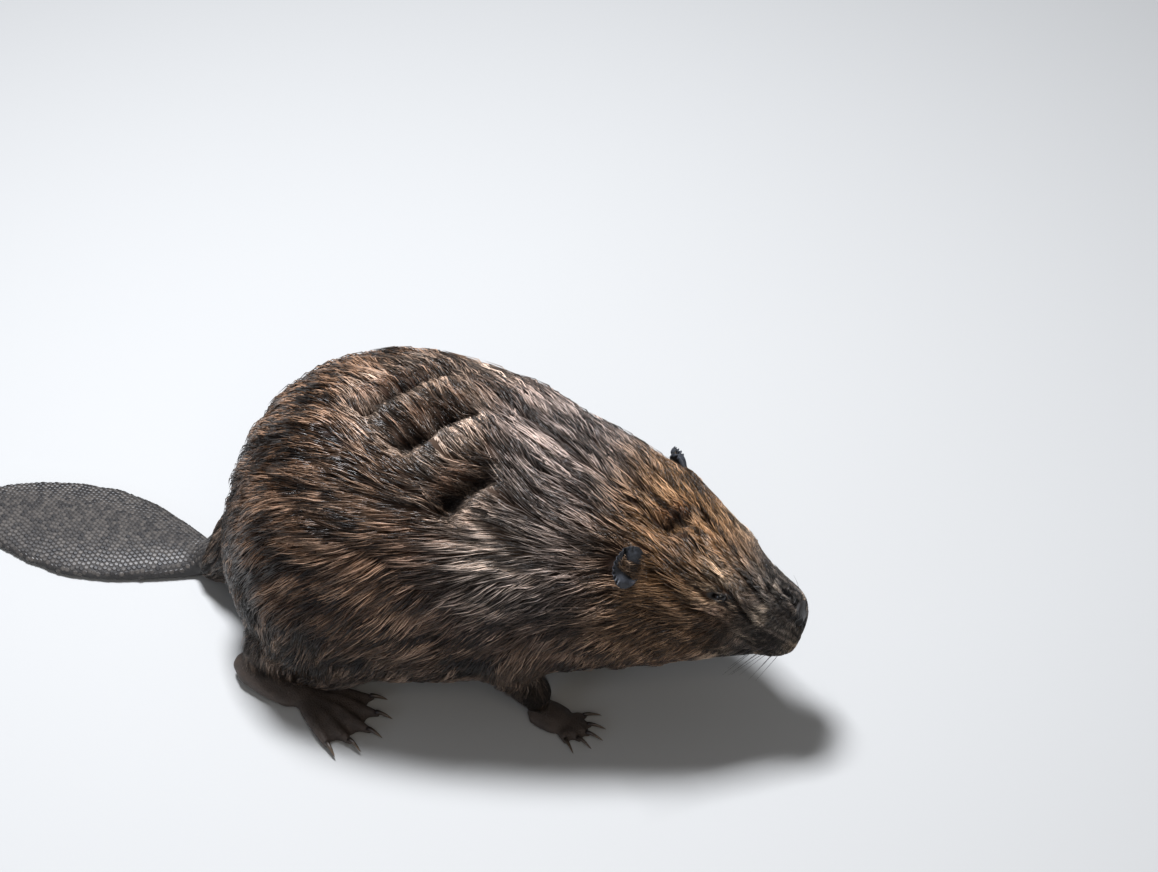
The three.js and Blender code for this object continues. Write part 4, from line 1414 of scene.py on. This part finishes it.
def swept_hair(root, ahead, droop, length):
    """Points and faces of one whisker: a tapered tube that leaves the lip and droops toward its tip."""
    rings = []
    turns = np.linspace(0, 2 * math.pi, WHISKER_SIDES, endpoint=False)
    across = unit(np.cross(ahead, droop))
    over = np.cross(across, ahead)
    for share in np.linspace(0, 1, WHISKER_RINGS):
        middle = root + (ahead * share + droop * 0.35 * share ** 2) * length * MM
        radius = (WHISKER_WIDTH[0] + (WHISKER_WIDTH[1] - WHISKER_WIDTH[0]) * share) / 2 * MM
        rings.append(middle + radius * (across * np.cos(turns)[:, None] + over * np.sin(turns)[:, None]))
    faces = [tuple(range(WHISKER_SIDES))[::-1],
             tuple((WHISKER_RINGS - 1) * WHISKER_SIDES + k for k in range(WHISKER_SIDES))]
    return np.concatenate(rings), faces + tube_faces(WHISKER_RINGS, WHISKER_SIDES)


skin_tree = BVHTree.FromPolygons(points.tolist(), net_triangles.tolist())
hairs = []
for side, sign in (("left", 1), ("right", -1)):
    for row in range(WHISKER_ROWS):
        for column in range(WHISKER_COLUMNS - row % 2):
            level = (105 + 6 * row + random.uniform(-1, 1)) * MM
            back_mm = 11 + 5.5 * column + 2.5 * (row % 2) + random.uniform(-1, 1)
            eye_of = Vector((sign * 0.2, NOSE_Y + back_mm * MM, level))
            root, normal, _, _ = skin_tree.ray_cast(eye_of, Vector((-sign, 0, 0)))
            rearward = np.array([0, 0.62 + random.uniform(-0.1, 0.1), 0.12 * (row - 1)])
            ahead = unit(np.array(normal) * 0.75 + rearward)
            droop = np.array([0, 0.45, -0.8])
            hairs.append(swept_hair(np.array(root) - ahead * MM, ahead, droop, random.uniform(20, 34)))
# A whisker is one stiff, dark bristle.
BRISTLE = new_material("whisker_bristle", Roughness=0.4, Base_Color=(*linear("#2b2320"), 1))[0]
whiskers = finished("whiskers", *as_one(hairs), BRISTLE, outward=False)
print("whiskers:", len(hairs))

# %% [markdown]
# ## Claws
# A beaver digs with its forefeet, so all its claws are long, dark, blunt-tipped horn, arched along the
# top and flat beneath. Each is swept from its root, which is hidden in the toe, to its tip.

# %% Claws
CLAW_SIZE = {"fore": (2.0, 2.4), "hind": (2.4, 2.9)}  # half width and half height at the root, mm
CLAW_RINGS, CLAW_SIDES = 9, 12


def swept_claw(root, tip, half_width, half_height):
    """Points and faces of one claw, closed at both ends."""
    ahead = unit(tip - root)
    across = unit(np.cross(ahead, [0, 0, 1]))
    over = np.cross(across, ahead)
    turns = np.linspace(0, 2 * math.pi, CLAW_SIDES, endpoint=False)
    rings, shares = [], []
    for share in np.linspace(0, 1, CLAW_RINGS, endpoint=False):
        slim = (1 - share) ** 0.62
        middle = root + (tip - root) * share + over * 1.5 * MM * math.sin(math.pi * share ** 0.8)
        flat = np.where(np.sin(turns) < 0, 0.55, 1.0)
        rings.append(middle + across * (np.cos(turns) * half_width * slim * MM)[:, None]
                     + over * (np.sin(turns) * flat * half_height * slim * MM)[:, None])
        shares += [share] * CLAW_SIDES
    points = np.concatenate(rings + [tip[None], root[None]])
    faces = tube_faces(CLAW_RINGS, CLAW_SIDES)
    last, end = (CLAW_RINGS - 1) * CLAW_SIDES, CLAW_RINGS * CLAW_SIDES
    faces += [(last + k, last + (k + 1) % CLAW_SIDES, end) for k in range(CLAW_SIDES)]
    faces += [((k + 1) % CLAW_SIDES, k, end + 1) for k in range(CLAW_SIDES)]
    return points, faces, shares + [1.0, 0.0]


# Horn: near black at the root and horn brown at the worn tip, with fine streaks, and glossy.
HORN = mottled_material("claw_horn", "#1b1512", "#8a735c", 700.0, 3.0, (0.3, 0.0003), "toward_tip",
                        Roughness=0.32, Specular_IOR_Level=0.5)[0]
claw_pieces = {}
for foot_name, lines in claws.items():
    end = foot_name.split("_")[0]
    made = [swept_claw(root, tip, *CLAW_SIZE[end]) for root, tip in lines]
    claw_pieces[foot_name] = finished(f"claws_{foot_name}", *as_one([claw[:2] for claw in made]), HORN)
    store(claw_pieces[foot_name].data, "toward_tip", np.concatenate([claw[2] for claw in made]))
print("claws:", {name: len(o.data.polygons) for name, o in claw_pieces.items()})

# %% [markdown]
# ## Scales of the tail
# The paddle is covered by rows of flat six-sided scales about 5 mm long, each row set half a scale to
# the side of the last. Geometry Nodes drops a staggered grid of points onto the paddle and sets one low
# plate on each, turned to lie on the skin with its rear edge a little proud.

# %% Scales of the tail
def scale_tree():
    """Builds the tree that lays rows of plates on the paddle, and returns it with its inputs."""
    tree, given, ids = new_tree("scales_on_a_paddle", {
        "Hide": "Geometry", "Middle": "Vector", "Width": "Float", "Length": "Float", "Across": "Int",
        "Rows": "Int", "Plate": "Vector", "Tilt": "Float", "Seed": "Int", "Material": "Material"}, "Scales")
    node, calc, times, plus, minus, vector, parts_of, combined = tools_for(tree)
    grid = node("GeometryNodeMeshGrid", {
        "Size X": given["Width"], "Size Y": given["Length"],
        "Vertices X": given["Across"], "Vertices Y": given["Rows"]})
    place = node("GeometryNodeInputPosition")
    row_step = calc("DIVIDE", given["Length"], minus(given["Rows"], 1.0))
    column_step = calc("DIVIDE", given["Width"], minus(given["Across"], 1.0))
    row = calc("ROUND", calc("DIVIDE", plus(parts_of(place)[1], given["Length"]), row_step))
    shift = times(times(calc("FLOORED_MODULO", row, 2.0), 0.5), column_step)
    offset = vector("ADD", combined(shift), given["Middle"])
    grid = node("GeometryNodeSetPosition", {"Geometry": grid, "Offset": offset})
    scaly = node("GeometryNodeInputNamedAttribute", {"Name": "scaly"}, data_type="FLOAT")
    hit = add(tree, "GeometryNodeRaycast", {
        "Target Geometry": given["Hide"], "Attribute": scaly, "Source Position": place,
        "Ray Direction": (0, 0, -1), "Ray Length": 1.0}, data_type="FLOAT").outputs
    found = times(hit["Is Hit"], calc("GREATER_THAN", hit["Attribute"], 0.55))
    points = node("GeometryNodeMeshToPoints", {"Mesh": grid, "Selection": found})
    points = node("GeometryNodeSetPosition", {"Geometry": points, "Position": hit["Hit Position"]})
    points = keep(tree, points, {"tone": chance(tree, 0.0, 1.0, given["Seed"])})
    plate = node("GeometryNodeMeshCone", {
        "Vertices": 6, "Side Segments": 1, "Radius Top": 0.62, "Radius Bottom": 1.0, "Depth": 1.0},
        fill_type="NGON")
    surface = node("GeometryNodeSampleNearestSurface", {
        "Mesh": given["Hide"], "Value": node("GeometryNodeInputNormal")}, data_type="FLOAT_VECTOR")
    slanted = vector("ADD", surface, combined(0.0, times(given["Tilt"], -1.0)))
    turned = node("FunctionNodeAxesToRotation", {
        "Primary Axis": slanted, "Secondary Axis": (0, 1, 0)}, primary_axis="Z", secondary_axis="Y")
    plates = node("GeometryNodeInstanceOnPoints", {
        "Points": points, "Instance": plate, "Rotation": turned, "Scale": given["Plate"]})
    end_tree(tree, node("GeometryNodeRealizeInstances", {"Geometry": plates}), given["Material"])
    return tree, ids


# Horny scale: slate black with a dull shine, no two quite the same, and mottled grey.
KERATIN = mottled_material("tail_scale_keratin", "#242222", "#6c655e", 300.0, 4.0, (0.4, 0.0004), "tone",
                           Roughness=0.46, Specular_IOR_Level=0.5)[0]
SCALE_WIDE, SCALE_LONG = 4.4, 4.2  # mm from scale to scale across the paddle and along it
PADDLE_LOW, PADDLE_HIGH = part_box("tail_blade")
PADDLE_SIZE = (PADDLE_HIGH - PADDLE_LOW) / MM
SCALES, SCALE_IDS = scale_tree()
tail_scales = grown("tail_scales", hide.data, SCALES, SCALE_IDS, {
    "Middle": (0.0, (PADDLE_LOW.y + PADDLE_HIGH.y) / 2, 0.08),
    "Width": PADDLE_SIZE.x * MM, "Length": PADDLE_SIZE.y * MM,
    "Across": int(PADDLE_SIZE.x / SCALE_WIDE) + 1, "Rows": int(PADDLE_SIZE.y / SCALE_LONG) + 1,
    "Plate": (2.35 * MM, 2.75 * MM, 0.55 * MM), "Tilt": 0.10, "Seed": 3, "Material": KERATIN})
print("scales:", len(tail_scales.data.polygons) // 8)

# %% Hand every piece to the frame
def hand_over(piece, slot, *nodes):
    """The piece rides on the one body and stands for these solids. Its slot is not used."""
    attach(piece, "root")
    if nodes:
        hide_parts(*nodes)


for name in WORKING_NAMES:
    hide.data.attributes.remove(hide.data.attributes[name])
hand_over(hide, "fur_body", *FLESH)
for k, grown_piece in enumerate(coat):
    hand_over(grown_piece, PIECE_SLOTS[k])
hand_over(tail_scales, "tail_scales")
hand_over(coat_ears, "fur_head")
hand_over(whiskers, "fur_head")
for foot_name, claw_piece in claw_pieces.items():
    end, side = foot_name.split("_")
    hand_over(claw_piece, "claw_horn", *[f"{end}_claw_{side}_{n}" for n in range(1, 6)])
for side in SIDES:
    hand_over(eyes[side], "eye", f"eye_{side}")
    hand_over(ears[side], "ear_skin", f"ear_{side}")


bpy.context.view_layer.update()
triangles = sum(len(arrays_of(o.data)[1]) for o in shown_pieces() if o.type == "MESH")
print("triangles in all:", triangles)
